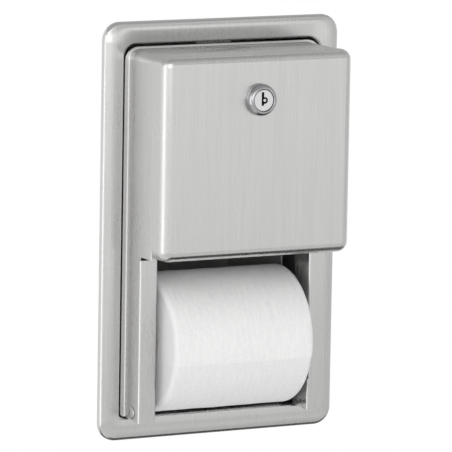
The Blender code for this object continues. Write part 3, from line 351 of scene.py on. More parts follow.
def new_group(name, inputs, outputs):
    """An empty node group with named sockets, given as (name, kind, default value)."""
    tree = bpy.data.node_groups.new(name, "ShaderNodeTree")
    for socket_name, kind, value in inputs:
        socket = tree.interface.new_socket(socket_name, in_out="INPUT", socket_type=kind)
        socket.default_value = value
    for socket_name, kind in outputs:
        tree.interface.new_socket(socket_name, in_out="OUTPUT", socket_type=kind)
    return tree, tree.nodes.new("NodeGroupInput"), tree.nodes.new("NodeGroupOutput")


def maths(tree, operation, first, second=None, clamp=False):
    node = tree.nodes.new("ShaderNodeMath")
    node.operation = operation
    node.use_clamp = clamp
    for socket, value in zip(node.inputs, (first, second)):
        if value is None:
            continue
        if isinstance(value, (int, float)):
            socket.default_value = value
        else:
            tree.links.new(value, socket)
    return node.outputs[0]


def noise(tree, vector, scale, detail=2.0, roughness=0.5, distortion=0.0):
    node = tree.nodes.new("ShaderNodeTexNoise")
    node.inputs["Scale"].default_value = scale
    node.inputs["Detail"].default_value = detail
    node.inputs["Roughness"].default_value = roughness
    node.inputs["Distortion"].default_value = distortion
    tree.links.new(vector, node.inputs["Vector"])
    return node.outputs["Fac"]


def stretched(tree, vector, scale):
    node = tree.nodes.new("ShaderNodeVectorMath")
    node.operation = "MULTIPLY"
    tree.links.new(vector, node.inputs[0])
    node.inputs[1].default_value = scale
    return node.outputs["Vector"]


def remap(tree, value, low, high, to_low, to_high):
    node = tree.nodes.new("ShaderNodeMapRange")
    tree.links.new(value, node.inputs["Value"])
    for name, number in (("From Min", low), ("From Max", high), ("To Min", to_low),
                         ("To Max", to_high)):
        node.inputs[name].default_value = number
    return node.outputs["Result"]


def mix_colour(tree, factor, first, second):
    node = tree.nodes.new("ShaderNodeMix")
    node.data_type = "RGBA"
    tree.links.new(factor, node.inputs["Factor"])
    for socket, value in ((node.inputs["A"], first), (node.inputs["B"], second)):
        if isinstance(value, tuple):
            socket.default_value = (*value, 1.0)
        else:
            tree.links.new(value, socket)
    return node.outputs["Result"]


def object_coordinates(tree):
    return tree.nodes.new("ShaderNodeTexCoord").outputs["Object"]


def brushed_grain_group():
    """Fine polishing lines that run up the sheet, and front to back on level faces."""
    tree, given, out = new_group(
        "brushed_grain",
        [("Colour", "NodeSocketColor", (0.5, 0.5, 0.5, 1.0)), ("Contrast", "NodeSocketFloat", 0.1),
         ("Roughness", "NodeSocketFloat", 0.3), ("Roughness Spread", "NodeSocketFloat", 0.1)],
        [("Colour", "NodeSocketColor"), ("Roughness", "NodeSocketFloat"),
         ("Height", "NodeSocketFloat")])
    place = object_coordinates(tree)
    upright = noise(tree, stretched(tree, place, (1.0, 1.0, LINE_STRETCH)), LINE_FINENESS,
                    detail=3.0, roughness=0.65)
    broad = noise(tree, stretched(tree, place, (1.0, 1.0, BAND_STRETCH)), BAND_FINENESS)
    level = noise(tree, stretched(tree, place, (1.0, LINE_STRETCH, 1.0)), LINE_FINENESS,
                  detail=3.0, roughness=0.65)
    facing = tree.nodes.new("ShaderNodeSeparateXYZ")
    tree.links.new(tree.nodes.new("ShaderNodeNewGeometry").outputs["Normal"],
                   facing.inputs["Vector"])
    up_share = maths(tree, "GREATER_THAN", maths(tree, "ABSOLUTE", facing.outputs["Z"]),
                     LEVEL_FACING)
    line = tree.nodes.new("ShaderNodeMix")
    tree.links.new(up_share, line.inputs["Factor"])
    tree.links.new(upright, line.inputs["A"])
    tree.links.new(maths(tree, "ADD", maths(tree, "MULTIPLY", level, LEVEL_LINE_SHARE),
                         (1 - LEVEL_LINE_SHARE) / 2), line.inputs["B"])
    lines = maths(tree, "ADD", maths(tree, "MULTIPLY", line.outputs["Result"], 1 - BAND_SHARE),
                  maths(tree, "MULTIPLY", broad, BAND_SHARE))
    shade = maths(tree, "ADD", 1.0, maths(tree, "MULTIPLY", maths(tree, "SUBTRACT", lines, 0.5),
                                          given.outputs["Contrast"]))
    colour = tree.nodes.new("ShaderNodeVectorMath")
    colour.operation = "SCALE"
    tree.links.new(given.outputs["Colour"], colour.inputs[0])
    tree.links.new(shade, colour.inputs["Scale"])
    rough = maths(tree, "ADD", given.outputs["Roughness"],
                  maths(tree, "MULTIPLY", maths(tree, "SUBTRACT", lines, 0.5),
                        given.outputs["Roughness Spread"]), clamp=True)
    tree.links.new(colour.outputs["Vector"], out.inputs["Colour"])
    tree.links.new(rough, out.inputs["Roughness"])
    tree.links.new(lines, out.inputs["Height"])
    return tree


def handling_group():
    """A rougher shine in cloudy patches, where hands and cleaning have passed over."""
    tree, given, out = new_group(
        "handling_marks",
        [("Amount", "NodeSocketFloat", 0.05), ("Size", "NodeSocketFloat", 0.04)],
        [("Roughness Shift", "NodeSocketFloat")])
    place = object_coordinates(tree)
    scaled = tree.nodes.new("ShaderNodeVectorMath")
    scaled.operation = "SCALE"
    tree.links.new(place, scaled.inputs[0])
    tree.links.new(maths(tree, "DIVIDE", 1.0, given.outputs["Size"]), scaled.inputs["Scale"])
    clouds = noise(tree, scaled.outputs["Vector"], 1.0, detail=4.0, roughness=0.55,
                   distortion=0.6)
    patches = remap(tree, clouds, 0.42, 0.68, 0.0, 1.0)
    tree.links.new(maths(tree, "MULTIPLY", patches, given.outputs["Amount"]),
                   out.inputs["Roughness Shift"])
    return tree


def fine_grain_group():
    """Even fine grain, for mould texture, plating and drawn wire."""
    tree, given, out = new_group(
        "fine_grain",
        [("Colour", "NodeSocketColor", (0.5, 0.5, 0.5, 1.0)), ("Contrast", "NodeSocketFloat", 0.1),
         ("Grain Size", "NodeSocketFloat", 0.0004)],
        [("Colour", "NodeSocketColor"), ("Height", "NodeSocketFloat")])
    scaled = tree.nodes.new("ShaderNodeVectorMath")
    scaled.operation = "SCALE"
    tree.links.new(object_coordinates(tree), scaled.inputs[0])
    tree.links.new(maths(tree, "DIVIDE", 1.0, given.outputs["Grain Size"]), scaled.inputs["Scale"])
    grain = noise(tree, scaled.outputs["Vector"], 1.0, detail=3.0, roughness=0.6)
    shade = maths(tree, "ADD", 1.0, maths(tree, "MULTIPLY", maths(tree, "SUBTRACT", grain, 0.5),
                                          given.outputs["Contrast"]))
    colour = tree.nodes.new("ShaderNodeVectorMath")
    colour.operation = "SCALE"
    tree.links.new(given.outputs["Colour"], colour.inputs[0])
    tree.links.new(shade, colour.inputs["Scale"])
    tree.links.new(colour.outputs["Vector"], out.inputs["Colour"])
    tree.links.new(grain, out.inputs["Height"])
    return tree


def wound_layers_group():
    """Rings of wound sheet on a roll's flat ends; streaks, dimples and fibre on its outside.

    A little painted shade lies below the height at which the sheet ends on the front, and the low
    parts of the rings, streaks and dimples are painted in the shadow colour as shade.
    """
    tree, given, out = new_group(
        "wound_layers",
        [("Colour", "NodeSocketColor", (0.9, 0.9, 0.9, 1.0)),
         ("Shadow Colour", "NodeSocketColor", (0.6, 0.6, 0.6, 1.0)),
         ("Axis Height", "NodeSocketFloat", 0.0), ("Axis Depth", "NodeSocketFloat", 0.0),
         ("Layer", "NodeSocketFloat", 0.0003), ("Sheet End Rise", "NodeSocketFloat", 0.0)],
        [("Colour", "NodeSocketColor"), ("Height", "NodeSocketFloat")])
    place = object_coordinates(tree)
    split = tree.nodes.new("ShaderNodeSeparateXYZ")
    tree.links.new(place, split.inputs["Vector"])
    along = maths(tree, "SUBTRACT", split.outputs["Y"], given.outputs["Axis Depth"])
    up = maths(tree, "SUBTRACT", split.outputs["Z"], given.outputs["Axis Height"])
    radius = maths(tree, "SQRT", maths(tree, "ADD", maths(tree, "MULTIPLY", along, along),
                                       maths(tree, "MULTIPLY", up, up)))
    wander = noise(tree, place, 60.0, detail=3.0, roughness=0.6)
    ring_place = maths(tree, "ADD", maths(tree, "DIVIDE", radius, given.outputs["Layer"]),
                       maths(tree, "MULTIPLY", wander, RING_WANDER))
    rings = maths(tree, "MULTIPLY", maths(tree, "ADD", maths(
        tree, "SINE", maths(tree, "MULTIPLY", ring_place, 2 * math.pi)), 1.0), 0.5)
    round_place = tree.nodes.new("ShaderNodeCombineXYZ")
    tree.links.new(split.outputs["X"], round_place.inputs["X"])
    tree.links.new(maths(tree, "MULTIPLY", maths(tree, "ARCTAN2", up, along), STREAK_ROUND),
                   round_place.inputs["Y"])
    streaks = noise(tree, round_place.outputs["Vector"], STREAK_FINENESS, detail=3.0,
                    roughness=0.6)
    dimples = noise(tree, place, DIMPLE_FINENESS, detail=1.0)
    fibre = noise(tree, place, FIBRE_FINENESS, detail=3.0, roughness=0.65)
    facing = tree.nodes.new("ShaderNodeSeparateXYZ")
    tree.links.new(tree.nodes.new("ShaderNodeNewGeometry").outputs["Normal"],
                   facing.inputs["Vector"])
    on_end = maths(tree, "GREATER_THAN", maths(tree, "ABSOLUTE", facing.outputs["X"]),
                   END_FACING)
    end_height = maths(tree, "ADD", maths(tree, "MULTIPLY", rings, 0.55),
                       maths(tree, "MULTIPLY", fibre, 0.45))
    side_height = maths(tree, "ADD", maths(tree, "MULTIPLY", streaks, 0.55),
                        maths(tree, "ADD", maths(tree, "MULTIPLY", dimples, 0.3),
                              maths(tree, "MULTIPLY", fibre, 0.15)))
    height = tree.nodes.new("ShaderNodeMix")
    tree.links.new(on_end, height.inputs["Factor"])
    tree.links.new(side_height, height.inputs["A"])
    tree.links.new(end_height, height.inputs["B"])
    # Painted shade: the low parts of the rings, streaks and dimples take the shadow colour.
    share = remap(tree, height.outputs["Result"], 0.25, 0.6, 1.0, 0.0)
    # Painted shade below the loose sheet end, strongest at the front and gone at the axis.
    wave = maths(tree, "MULTIPLY", maths(tree, "SUBTRACT", dimples, 0.5), SHEET_END_WAVE)
    below_end = maths(tree, "LESS_THAN", maths(tree, "ADD", up, wave),
                      given.outputs["Sheet End Rise"])
    near_end = maths(tree, "MULTIPLY", below_end,
                     remap(tree, along, -SHEET_END_SHADE_REACH, 0.0, SHEET_END_SHADE, 0.0))
    share = maths(tree, "ADD", share, near_end, clamp=True)
    tree.links.new(mix_colour(tree, share, given.outputs["Colour"],
                              given.outputs["Shadow Colour"]), out.inputs["Colour"])
    tree.links.new(height.outputs["Result"], out.inputs["Height"])
    return tree


def card_winding_group():
    """Slanting seams of a core wound from strip, with fibre flecks."""
    tree, given, out = new_group(
        "card_winding",
        [("Colour", "NodeSocketColor", (0.5, 0.4, 0.3, 1.0)),
         ("Seam Colour", "NodeSocketColor", (0.3, 0.2, 0.15, 1.0)),
         ("Seam Pitch", "NodeSocketFloat", 0.05)],
        [("Colour", "NodeSocketColor"), ("Height", "NodeSocketFloat")])
    place = object_coordinates(tree)
    split = tree.nodes.new("ShaderNodeSeparateXYZ")
    tree.links.new(place, split.inputs["Vector"])
    slant = maths(tree, "ADD", split.outputs["X"], maths(tree, "MULTIPLY", split.outputs["Z"], 0.6))
    turn = maths(tree, "FRACT", maths(tree, "DIVIDE", slant, given.outputs["Seam Pitch"]))
    seam = maths(tree, "LESS_THAN", turn, SEAM_WIDTH)
    flecks = noise(tree, stretched(tree, place, (0.3, 1.0, 1.0)), 1400.0, detail=4.0,
                   roughness=0.7)
    tint = mix_colour(tree, remap(tree, flecks, 0.35, 0.75, 0.0, 0.35), given.outputs["Colour"],
                      given.outputs["Seam Colour"])
    tree.links.new(mix_colour(tree, seam, tint, given.outputs["Seam Colour"]),
                   out.inputs["Colour"])
    tree.links.new(maths(tree, "SUBTRACT", flecks, seam), out.inputs["Height"])
    return tree


GRAIN = brushed_grain_group()
HANDLING = handling_group()
FINE_GRAIN = fine_grain_group()
LAYERS = wound_layers_group()
WINDING = card_winding_group()


# Materials

def new_material(name):
    """A material with only its shader in it."""
    material = bpy.data.materials.new(name)
    material.use_nodes = True
    return material, material.node_tree, material.node_tree.nodes["Principled BSDF"]


def group_node(tree, group, **values):
    node = tree.nodes.new("ShaderNodeGroup")
    node.node_tree = group
    for name, value in values.items():
        node.inputs[name.replace("_", " ")].default_value = value
    return node


def bump(tree, shader, height, strength, distance):
    node = tree.nodes.new("ShaderNodeBump")
    node.inputs["Strength"].default_value = strength
    node.inputs["Distance"].default_value = distance
    tree.links.new(height, node.inputs["Height"])
    tree.links.new(node.outputs["Normal"], shader.inputs["Normal"])


def brushed_steel(name, colour, contrast, roughness, spread, marks, depth, directional,
                  metallic=1.0):
    """Sheet steel with polishing lines that spread a reflection sideways, and handling marks."""
    material, tree, shader = new_material(name)
    shader.inputs["Metallic"].default_value = metallic
    shader.inputs["Anisotropic"].default_value = directional
    grain = group_node(tree, GRAIN, Colour=(*colour, 1.0), Contrast=contrast, Roughness=roughness,
                       Roughness_Spread=spread)
    handling = group_node(tree, HANDLING, Amount=marks, Size=0.05)
    tree.links.new(grain.outputs["Colour"], shader.inputs["Base Color"])
    tree.links.new(maths(tree, "ADD", grain.outputs["Roughness"],
                         handling.outputs["Roughness Shift"]), shader.inputs["Roughness"])
    bump(tree, shader, grain.outputs["Height"], strength=0.13, distance=depth)
    return material


def plated(name, colour, contrast, grain_size, roughness, marks, depth):
    """Plated, cast or drawn metal with an even grain."""
    material, tree, shader = new_material(name)
    shader.inputs["Metallic"].default_value = 1.0
    grain = group_node(tree, FINE_GRAIN, Colour=(*colour, 1.0), Contrast=contrast,
                       Grain_Size=grain_size)
    handling = group_node(tree, HANDLING, Amount=marks, Size=0.012)
    tree.links.new(grain.outputs["Colour"], shader.inputs["Base Color"])
    tree.links.new(maths(tree, "ADD", roughness, handling.outputs["Roughness Shift"]),
                   shader.inputs["Roughness"])
    bump(tree, shader, grain.outputs["Height"], strength=0.2, distance=depth)
    return material


def plastic(name, colour, contrast, grain_size, roughness, marks):
    """Moulded plastic with its fine mould grain."""
    material, tree, shader = new_material(name)
    grain = group_node(tree, FINE_GRAIN, Colour=(*colour, 1.0), Contrast=contrast,
                       Grain_Size=grain_size)
    handling = group_node(tree, HANDLING, Amount=marks, Size=0.015)
    tree.links.new(grain.outputs["Colour"], shader.inputs["Base Color"])
    tree.links.new(maths(tree, "ADD", roughness, handling.outputs["Roughness Shift"]),
                   shader.inputs["Roughness"])
    bump(tree, shader, grain.outputs["Height"], strength=0.35, distance=0.00004)
    return material


def tissue(name, axis_depth, axis_height):
    """Soft white paper, wound round its axis."""
    material, tree, shader = new_material(name)
    # The shadow colour is painted shade, in the hollows of the paper and below its loose sheet end.
    layers = group_node(tree, LAYERS, Colour=(0.905, 0.9, 0.892, 1.0),
                        Shadow_Colour=(0.79, 0.79, 0.8, 1.0), Axis_Height=axis_height,
                        Axis_Depth=axis_depth, Layer=0.00042, Sheet_End_Rise=-0.0108)
    shader.inputs["Roughness"].default_value = 0.95
    shader.inputs["Specular IOR Level"].default_value = 0.15
    tree.links.new(layers.outputs["Colour"], shader.inputs["Base Color"])
    bump(tree, shader, layers.outputs["Height"], strength=0.4, distance=0.00012)
    return material


def card(name):
    """Brown card wound from strip."""
    material, tree, shader = new_material(name)
    winding = group_node(tree, WINDING, Colour=(0.5, 0.39, 0.27, 1.0),
                         Seam_Colour=(0.3, 0.22, 0.14, 1.0), Seam_Pitch=0.062)
    shader.inputs["Roughness"].default_value = 0.88
    tree.links.new(winding.outputs["Colour"], shader.inputs["Base Color"])
    bump(tree, shader, winding.outputs["Height"], strength=0.3, distance=0.0001)
    return material


def roll_axis(node):
    """Depth and height of a core's axis."""
    low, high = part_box(node)
    return (low.y + high.y) / 2, (low.z + high.z) / 2


MATERIALS = {
    "satin_stainless": brushed_steel(
        "satin_stainless_sheet", colour=(0.6, 0.598, 0.592), contrast=0.3, roughness=0.27,
        spread=0.1, marks=0.03, depth=0.00003, directional=0.8),
    "mill_stainless": brushed_steel(
        "mill_stainless_sheet", colour=(0.45, 0.45, 0.445), contrast=0.1, roughness=0.38,
        spread=0.08, marks=0.06, depth=0.00001, directional=0.3, metallic=0.7),
    "rivet_stainless": plated(
        "rivet_stainless_metal", colour=(0.52, 0.52, 0.515), contrast=0.12, grain_size=0.0006,
        roughness=0.3, marks=0.1, depth=0.00002),
    "spring_steel": plated(
        "spring_steel_wire", colour=(0.2, 0.2, 0.21), contrast=0.2, grain_size=0.0005,
        roughness=0.38, marks=0.1, depth=0.00002),
    "zinc_plated": plated(
        "zinc_plated_steel", colour=(0.6, 0.6, 0.63), contrast=0.16, grain_size=0.0011,
        roughness=0.32, marks=0.12, depth=0.00002),
    "chrome": plated(
        "polished_chrome", colour=(0.68, 0.68, 0.685), contrast=0.03, grain_size=0.0008,
        roughness=0.1, marks=0.05, depth=0.000004),
    # Painted shade: a darker copy of the chrome for the lock collar, standing in for the dark
    # reflections round the lock.
    "chrome_darkened_as_painted_shade": plated(
        "chrome_with_painted_dark_reflections", colour=(0.42, 0.42, 0.43), contrast=0.06, grain_size=0.0008,
        roughness=0.12, marks=0.08, depth=0.000004),
    # Painted shade: near black steel for the plug's faces behind its front, standing in for the
    # shade in the key slot.
    "keyway_painted_shade": plated(
        "lock_steel_painted_dark_as_keyway_shade", colour=(0.09, 0.09, 0.09), contrast=0.2, grain_size=0.0006,
        roughness=0.4, marks=0.1, depth=0.00002),
    "brass": plated(
        "turned_brass", colour=(0.68, 0.52, 0.27), contrast=0.14, grain_size=0.0007,
        roughness=0.3, marks=0.12, depth=0.00002),
    "nylon": plastic(
        "natural_nylon", colour=(0.76, 0.75, 0.71), contrast=0.05, grain_size=0.0009,
        roughness=0.48, marks=0.1),
    "moulded_plastic": plastic(
        "black_moulded_plastic", colour=(0.045, 0.045, 0.05), contrast=0.3, grain_size=0.0005,
        roughness=0.42, marks=0.15),
    "lower_tissue": tissue("lower_roll_tissue", *roll_axis("lower_roll_core")),
    "reserve_tissue": tissue("reserve_roll_tissue", *roll_axis("reserve_roll_core")),
    "card": card("wound_card"),
}


# Pieces

def flange_section(deepest, crown):
    """Section from the outer edge in: rim, crown and face, and the return into the opening."""
    crown_width, crown_height, edge_height, crown_radius = crown
    return rounded_path([(0.0, 0.0), (0.0, -FLANGE_RIM_HEIGHT), (crown_width, -crown_height),
                         (FLANGE_SIDE_MARGIN, -edge_height), (FLANGE_SIDE_MARGIN, deepest)],
                        [FLANGE_RIM_RADIUS, crown_radius, OPENING_EDGE_RADIUS])


def build_trim_flange():
    """One drawn frame, flatter along its top than elsewhere."""
    low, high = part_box("trim_flange")
    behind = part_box("cabinet_back")[1].y
    angles = [90 * quarter - 90 + 90 * step / CORNER_STEPS
              for quarter in range(4) for step in range(CORNER_STEPS + 1)]
    top_shares = [max(0.0, math.sin(math.radians(angle))) ** 2 for angle in angles]
    loops = []
    for (inset, y), (top_inset, top_y) in zip(flange_section(high.y, FLANGE_SIDE_CROWN),
                                              flange_section(high.y, FLANGE_TOP_CROWN)):
        share, top_share = inset / FLANGE_SIDE_MARGIN, top_inset / FLANGE_SIDE_MARGIN
        foot, top = (FLANGE_CORNER_RADIUS + (radius - FLANGE_CORNER_RADIUS) * share
                     for radius in (OPENING_FOOT_RADIUS, OPENING_TOP_RADIUS))
        outline = rounded_rectangle(high.x - inset, low.z + FLANGE_FOOT_MARGIN * share,
                                    high.z - FLANGE_TOP_MARGIN * top_share, foot, top)
        loops.append([(x, y + (top_y - y) * part, z)
                      for (x, z), part in zip(outline, top_shares)])
    flange = loft("drawn_trim_flange", loops, False, (0.0, behind, 0.0))
    solidify(flange, FLANGE_SHEET)
    bake(flange)
    ease_edges(flange)
    stands_for(flange, "satin_stainless", "trim_flange")


def build_front_pan():
    """Drawn tray of the door, with its lock hole."""
    low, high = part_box("door_front_pan")
    middle = (low.z + high.z) / 2
    path = rounded_path([(0.0, high.y), (0.0, low.y), (PAN_CORNER_RADIUS, low.y)],
                        [PAN_EDGE_RADIUS], 2 * BEND_STEPS)[:-1]
    loops = []
    for inset, y in path:
        radius = PAN_CORNER_RADIUS - inset
        outline = rounded_rectangle(high.x - inset, low.z + inset, high.z - inset, radius, radius)
        loops.append([(x, y, z) for x, z in outline])
    pan = loft("drawn_front_pan", loops, True, (0.0, 0.0, middle))
    solidify(pan, DOOR_SHEET)
    _, lock_z = lock_centre()
    hole = rod("lock_hole", (0.0, low.y - OVERRUN, lock_z), (0.0, low.y + OVERRUN, lock_z),
               LOCK_HOLE_RADIUS)
    cut(pan, hole)
    bake(pan, [hole])
    ease_edges(pan)
    stands_for(pan, "satin_stainless", "door_front_pan")


def lock_centre():
    """Side place and height of the lock's axis."""
    low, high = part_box("lock_collar")
    return (low.x + high.x) / 2, (low.z + high.z) / 2


def build_lock_face():
    """Domed collar with a groove round its mouth, and the plug with its key slot."""
    low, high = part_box("lock_collar")
    x, z = lock_centre()
    height, base = high.y - low.y, (high.x - low.x) / 2
    bore = PLUG_FACE_RADIUS + PLUG_CLEARANCE
    profile = [(bore, height - COLLAR_GROOVE_DEPTH), (bore + COLLAR_GROOVE_DEPTH, height)]
    profile += [(COLLAR_FACE_RADIUS + (base - COLLAR_FACE_RADIUS) * math.sin(math.radians(a)),
                 COLLAR_EDGE_HEIGHT + (height - COLLAR_EDGE_HEIGHT) * math.cos(math.radians(a)))
                for a in range(0, 81, 5)]
    profile += [(base, COLLAR_EDGE_HEIGHT), (base, 0.0), (bore, 0.0)]
    # The collar takes the darker chrome, painted shade for its dark reflections.
    collar = turned("domed_lock_collar", profile, (x, high.y, z), (0, -1, 0), "chrome_darkened_as_painted_shade",
                    closed=True)
    ease_edges(collar, EASED_EDGE / 2)
    stands_for(collar, "chrome", "lock_collar")

    low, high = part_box("lock_plug")
    length = high.y - low.y
    profile = [(0.0, 0.0), (PLUG_FACE_RADIUS - COLLAR_GROOVE_DEPTH, 0.0),
               (PLUG_FACE_RADIUS, -COLLAR_GROOVE_DEPTH), (PLUG_FACE_RADIUS, -PLUG_RIM_DEPTH),
               (PLUG_BODY_RADIUS, -PLUG_RIM_DEPTH), (PLUG_BODY_RADIUS, PLUG_TAIL_LENGTH - length),
               (PLUG_TAIL_RADIUS, PLUG_TAIL_LENGTH - length), (PLUG_TAIL_RADIUS, -length),
               (0.0, -length)]
    plug = turned("keyed_lock_plug", profile, (x, low.y, z), (0, -1, 0), "chrome")
    slot_x, slot_z = x + KEY_SLOT_OFFSET[0], z + KEY_SLOT_OFFSET[1]
    slot_half, slot_reach = KEY_SLOT_WIDTH / 2, KEY_SLOT_HEIGHT / 2
    slot = block("key_slot",
                 (slot_x - slot_half, low.y - OVERRUN, slot_z - slot_reach),
                 (slot_x + slot_half, low.y + KEY_SLOT_DEPTH, slot_z + slot_reach))
    post_x = x + KEY_POST_SIDE
    ring = rod("post_hole", (post_x, low.y - OVERRUN, z), (post_x, low.y + KEY_SLOT_DEPTH, z),
               KEY_POST_RADIUS)
    cut(plug, slot)
    cut(plug, ring)
    bake(plug, [slot, ring])
    # The faces behind the plug's front take painted shade, near black as the shade in the key slot.
    plug.data.materials.append(MATERIALS["keyway_painted_shade"])
    for face in plug.data.polygons:
        if face.center.y > low.y + COLLAR_GROOVE_DEPTH + WELD:
            face.material_index = 1
    ease_edges(plug, EASED_EDGE / 2)
    stands_for(plug, "chrome", "lock_plug")
    post = turned("key_post", KEY_POST_PROFILE,
                  (post_x + KEY_POST_SHIFT, low.y + KEY_POST_SUNK, z), (0, -1, 0), "chrome",
                  SMALL_ROUND_STEPS)
    ease_edges(post, 0)
    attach(post, BODY_OF["lock_plug"])


def build_pivot_rivets():
    """Domed rivets at the foot of the arms."""
    for name, side in (("left", -1), ("right", 1)):
        low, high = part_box(f"pivot_rivet_{name}")
        centre_y, centre_z = (low.y + high.y) / 2, (low.z + high.z) / 2
        radius, length = (high.y - low.y) / 2, high.x - low.x
        outer = high.x if side > 0 else low.x
        tail = RIVET_TAIL_LENGTH - length
        profile = [(radius * math.sin(math.radians(a)),
                    RIVET_HEAD_HEIGHT * (math.cos(math.radians(a)) - 1))
                   for a in range(0, 91, 6)]
        profile += [(RIVET_SHANK_RADIUS, -RIVET_HEAD_HEIGHT), (RIVET_SHANK_RADIUS, tail),
                    (RIVET_TAIL_RADIUS, tail),
                    (RIVET_TAIL_RADIUS - RIVET_TAIL_CHAMFER, -length), (0.0, -length)]
        rivet = turned(f"domed_pivot_rivet_{name}", profile, (outer, centre_y, centre_z),
                       (side, 0, 0), "rivet_stainless", SMALL_ROUND_STEPS)
        ease_edges(rivet, 0)
        stands_for(rivet, "rivet_stainless", f"pivot_rivet_{name}")


def build_roll(prefix):
    """Wound paper: a slow spiral to its loose end, soft edges and a little unevenness."""
    low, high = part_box(f"{prefix}_roll_paper")
    axis_y, axis_z = roll_axis(f"{prefix}_roll_core")
    radius = max(axis_y - low.y, high.y - axis_y, high.z - axis_z)
    middle, half = (low.x + high.x) / 2, (high.x - low.x) / 2
    shape = bmesh.new()
    section = [(half - ROLL_EDGE_RADIUS + ROLL_EDGE_RADIUS * math.cos(math.radians(a)),
                -ROLL_EDGE_RADIUS + ROLL_EDGE_RADIUS * math.sin(math.radians(a)))
               for a in ROLL_EDGE_ANGLES]
    section += [(section[-1][0] * (1 - 2 * i / ROLL_BANDS), 0.0) for i in range(1, ROLL_BANDS)]
    section += [(-x, drop) for x, drop in reversed(section[:len(ROLL_EDGE_ANGLES)])]
    columns = []
    for i in range(ROLL_STEPS + 1):
        turn = i / ROLL_STEPS
        angle = math.radians(SHEET_END_ANGLE) + 2 * math.pi * turn
        bore = (axis_y + CORE_OUTER_RADIUS * math.cos(angle),
                axis_z + CORE_OUTER_RADIUS * math.sin(angle))
        column = [shape.verts.new((middle + half, *bore))]
        for x, drop in section:
            uneven = sum(math.sin(around * angle + across * x + shift)
                         for around, across, shift in ROLL_WAVES) / len(ROLL_WAVES) - 1
            reach = radius - SHEET_END_STEP * (1 - turn) + drop + ROLL_UNEVENNESS * uneven
            column.append(shape.verts.new((middle + x, axis_y + reach * math.cos(angle),
                                           axis_z + reach * math.sin(angle))))
        column.append(shape.verts.new((middle - half, *bore)))
        columns.append(column)
    for near, far in zip(columns, columns[1:]):
        for k in range(len(near)):
            shape.faces.new((near[k - 1], near[k], far[k], far[k - 1]))
    first, last = columns[0], columns[-1]
    for k in range(len(first) - 1):
        shape.faces.new((last[k], last[k + 1], first[k + 1], first[k]))
    bmesh.ops.remove_doubles(shape, verts=shape.verts[:], dist=WELD)
    bmesh.ops.recalc_face_normals(shape, faces=shape.faces[:])
    paper = new_piece(f"{prefix}_roll_wound_tissue", shape, f"{prefix}_tissue")
    ease_edges(paper, 0)
    stands_for(paper, "tissue", f"{prefix}_roll_paper")


def dress(node, slot):
    """A clean copy of a solid: welded, its flat faces whole, its sheet edges eased.

    The lips round the door lie a little deeper than in the solid, as in the photograph.
    """
    shape = bmesh.new()
    shape.from_mesh(frame["nodes"][node].data)
    bmesh.ops.remove_doubles(shape, verts=shape.verts[:], dist=WELD)
    if node == "door_frame":
        for vert in shape.verts:
            if vert.co.y > LIP_FRONT:
                vert.co.y += LIP_SEAT
    bmesh.ops.dissolve_limit(shape, angle_limit=FLAT_ANGLE, verts=shape.verts[:],
                             edges=shape.edges[:])
    piece = new_piece(f"{node}_finished", shape, slot)
    ease_edges(piece, EDGE_WIDTHS.get(node, EASED_EDGE))
    stands_for(piece, slot, node)


# Stage and light

def shows_as_white(tree, own_shader, keeps_shadow):
    """White to glossy rays and to the camera, partly so where a shadow shows; clear from behind."""
    nodes, links = tree.nodes, tree.links
    path = nodes.new("ShaderNodeLightPath")
    seen = maths(tree, "ADD", path.outputs["Is Glossy Ray"],
                 path.outputs["Is Transmission Ray"], clamp=True)
    straight = maths(tree, "MULTIPLY", path.outputs["Is Camera Ray"],
                     FLOOR_WHITE if keeps_shadow else 1.0)
    seen = maths(tree, "ADD", seen, straight, clamp=True)
    white = nodes.new("ShaderNodeEmission")
    white.inputs["Color"].default_value = (1.0, 1.0, 1.0, 1.0)
    front = nodes.new("ShaderNodeMixShader")
    links.new(seen, front.inputs["Fac"])
    links.new(own_shader.outputs["BSDF"], front.inputs[1])
    links.new(white.outputs["Emission"], front.inputs[2])
    clear = nodes.new("ShaderNodeBsdfTransparent")
    side = nodes.new("ShaderNodeMixShader")
    links.new(nodes.new("ShaderNodeNewGeometry").outputs["Backfacing"], side.inputs["Fac"])
    links.new(front.outputs["Shader"], side.inputs[1])
    links.new(clear.outputs["BSDF"], side.inputs[2])
    links.new(side.outputs["Shader"], nodes["Material Output"].inputs["Surface"])


def stage_material(name, colour, keeps_shadow):
    material, tree, shader = new_material(name)
    shader.inputs["Roughness"].default_value = 0.8
    plaster = group_node(tree, FINE_GRAIN, Colour=(*colour, 1.0), Contrast=0.03, Grain_Size=0.004)
    tree.links.new(plaster.outputs["Colour"], shader.inputs["Base Color"])
    shows_as_white(tree, shader, keeps_shadow)
    return material


def stage_sheet(name, corners, faces, material):
    mesh = bpy.data.meshes.new(name)
    mesh.from_pydata(corners, [], faces)
    mesh.materials.append(material)
    sheet = bpy.data.objects.new(name, mesh)
    bpy.context.scene.collection.objects.link(sheet)
    return sheet


def build_stage():
    """Wall with its cutout hidden under the flange, and a pale floor below."""
    wide, tall = WALL_HOLE_HALF_WIDTH, WALL_HOLE_HALF_HEIGHT
    reach, floor = WALL_REACH, -FLOOR_DROP
    corners = [(-wide, 0, -tall), (wide, 0, -tall), (wide, 0, tall), (-wide, 0, tall),
               (-reach, 0, floor), (reach, 0, floor), (reach, 0, reach), (-reach, 0, reach)]
    faces = [(4, 5, 1, 0), (5, 6, 2, 1), (6, 7, 3, 2), (7, 4, 0, 3)]
    stage_sheet("wall", corners, faces, stage_material("white_plaster", (0.85, 0.85, 0.85), False))
    corners = [(-reach, -reach, floor), (reach, -reach, floor), (reach, reach, floor),
               (-reach, reach, floor)]
    stage_sheet("floor", corners, [(0, 1, 2, 3)],
                stage_material("pale_floor", (0.82, 0.82, 0.82), True))


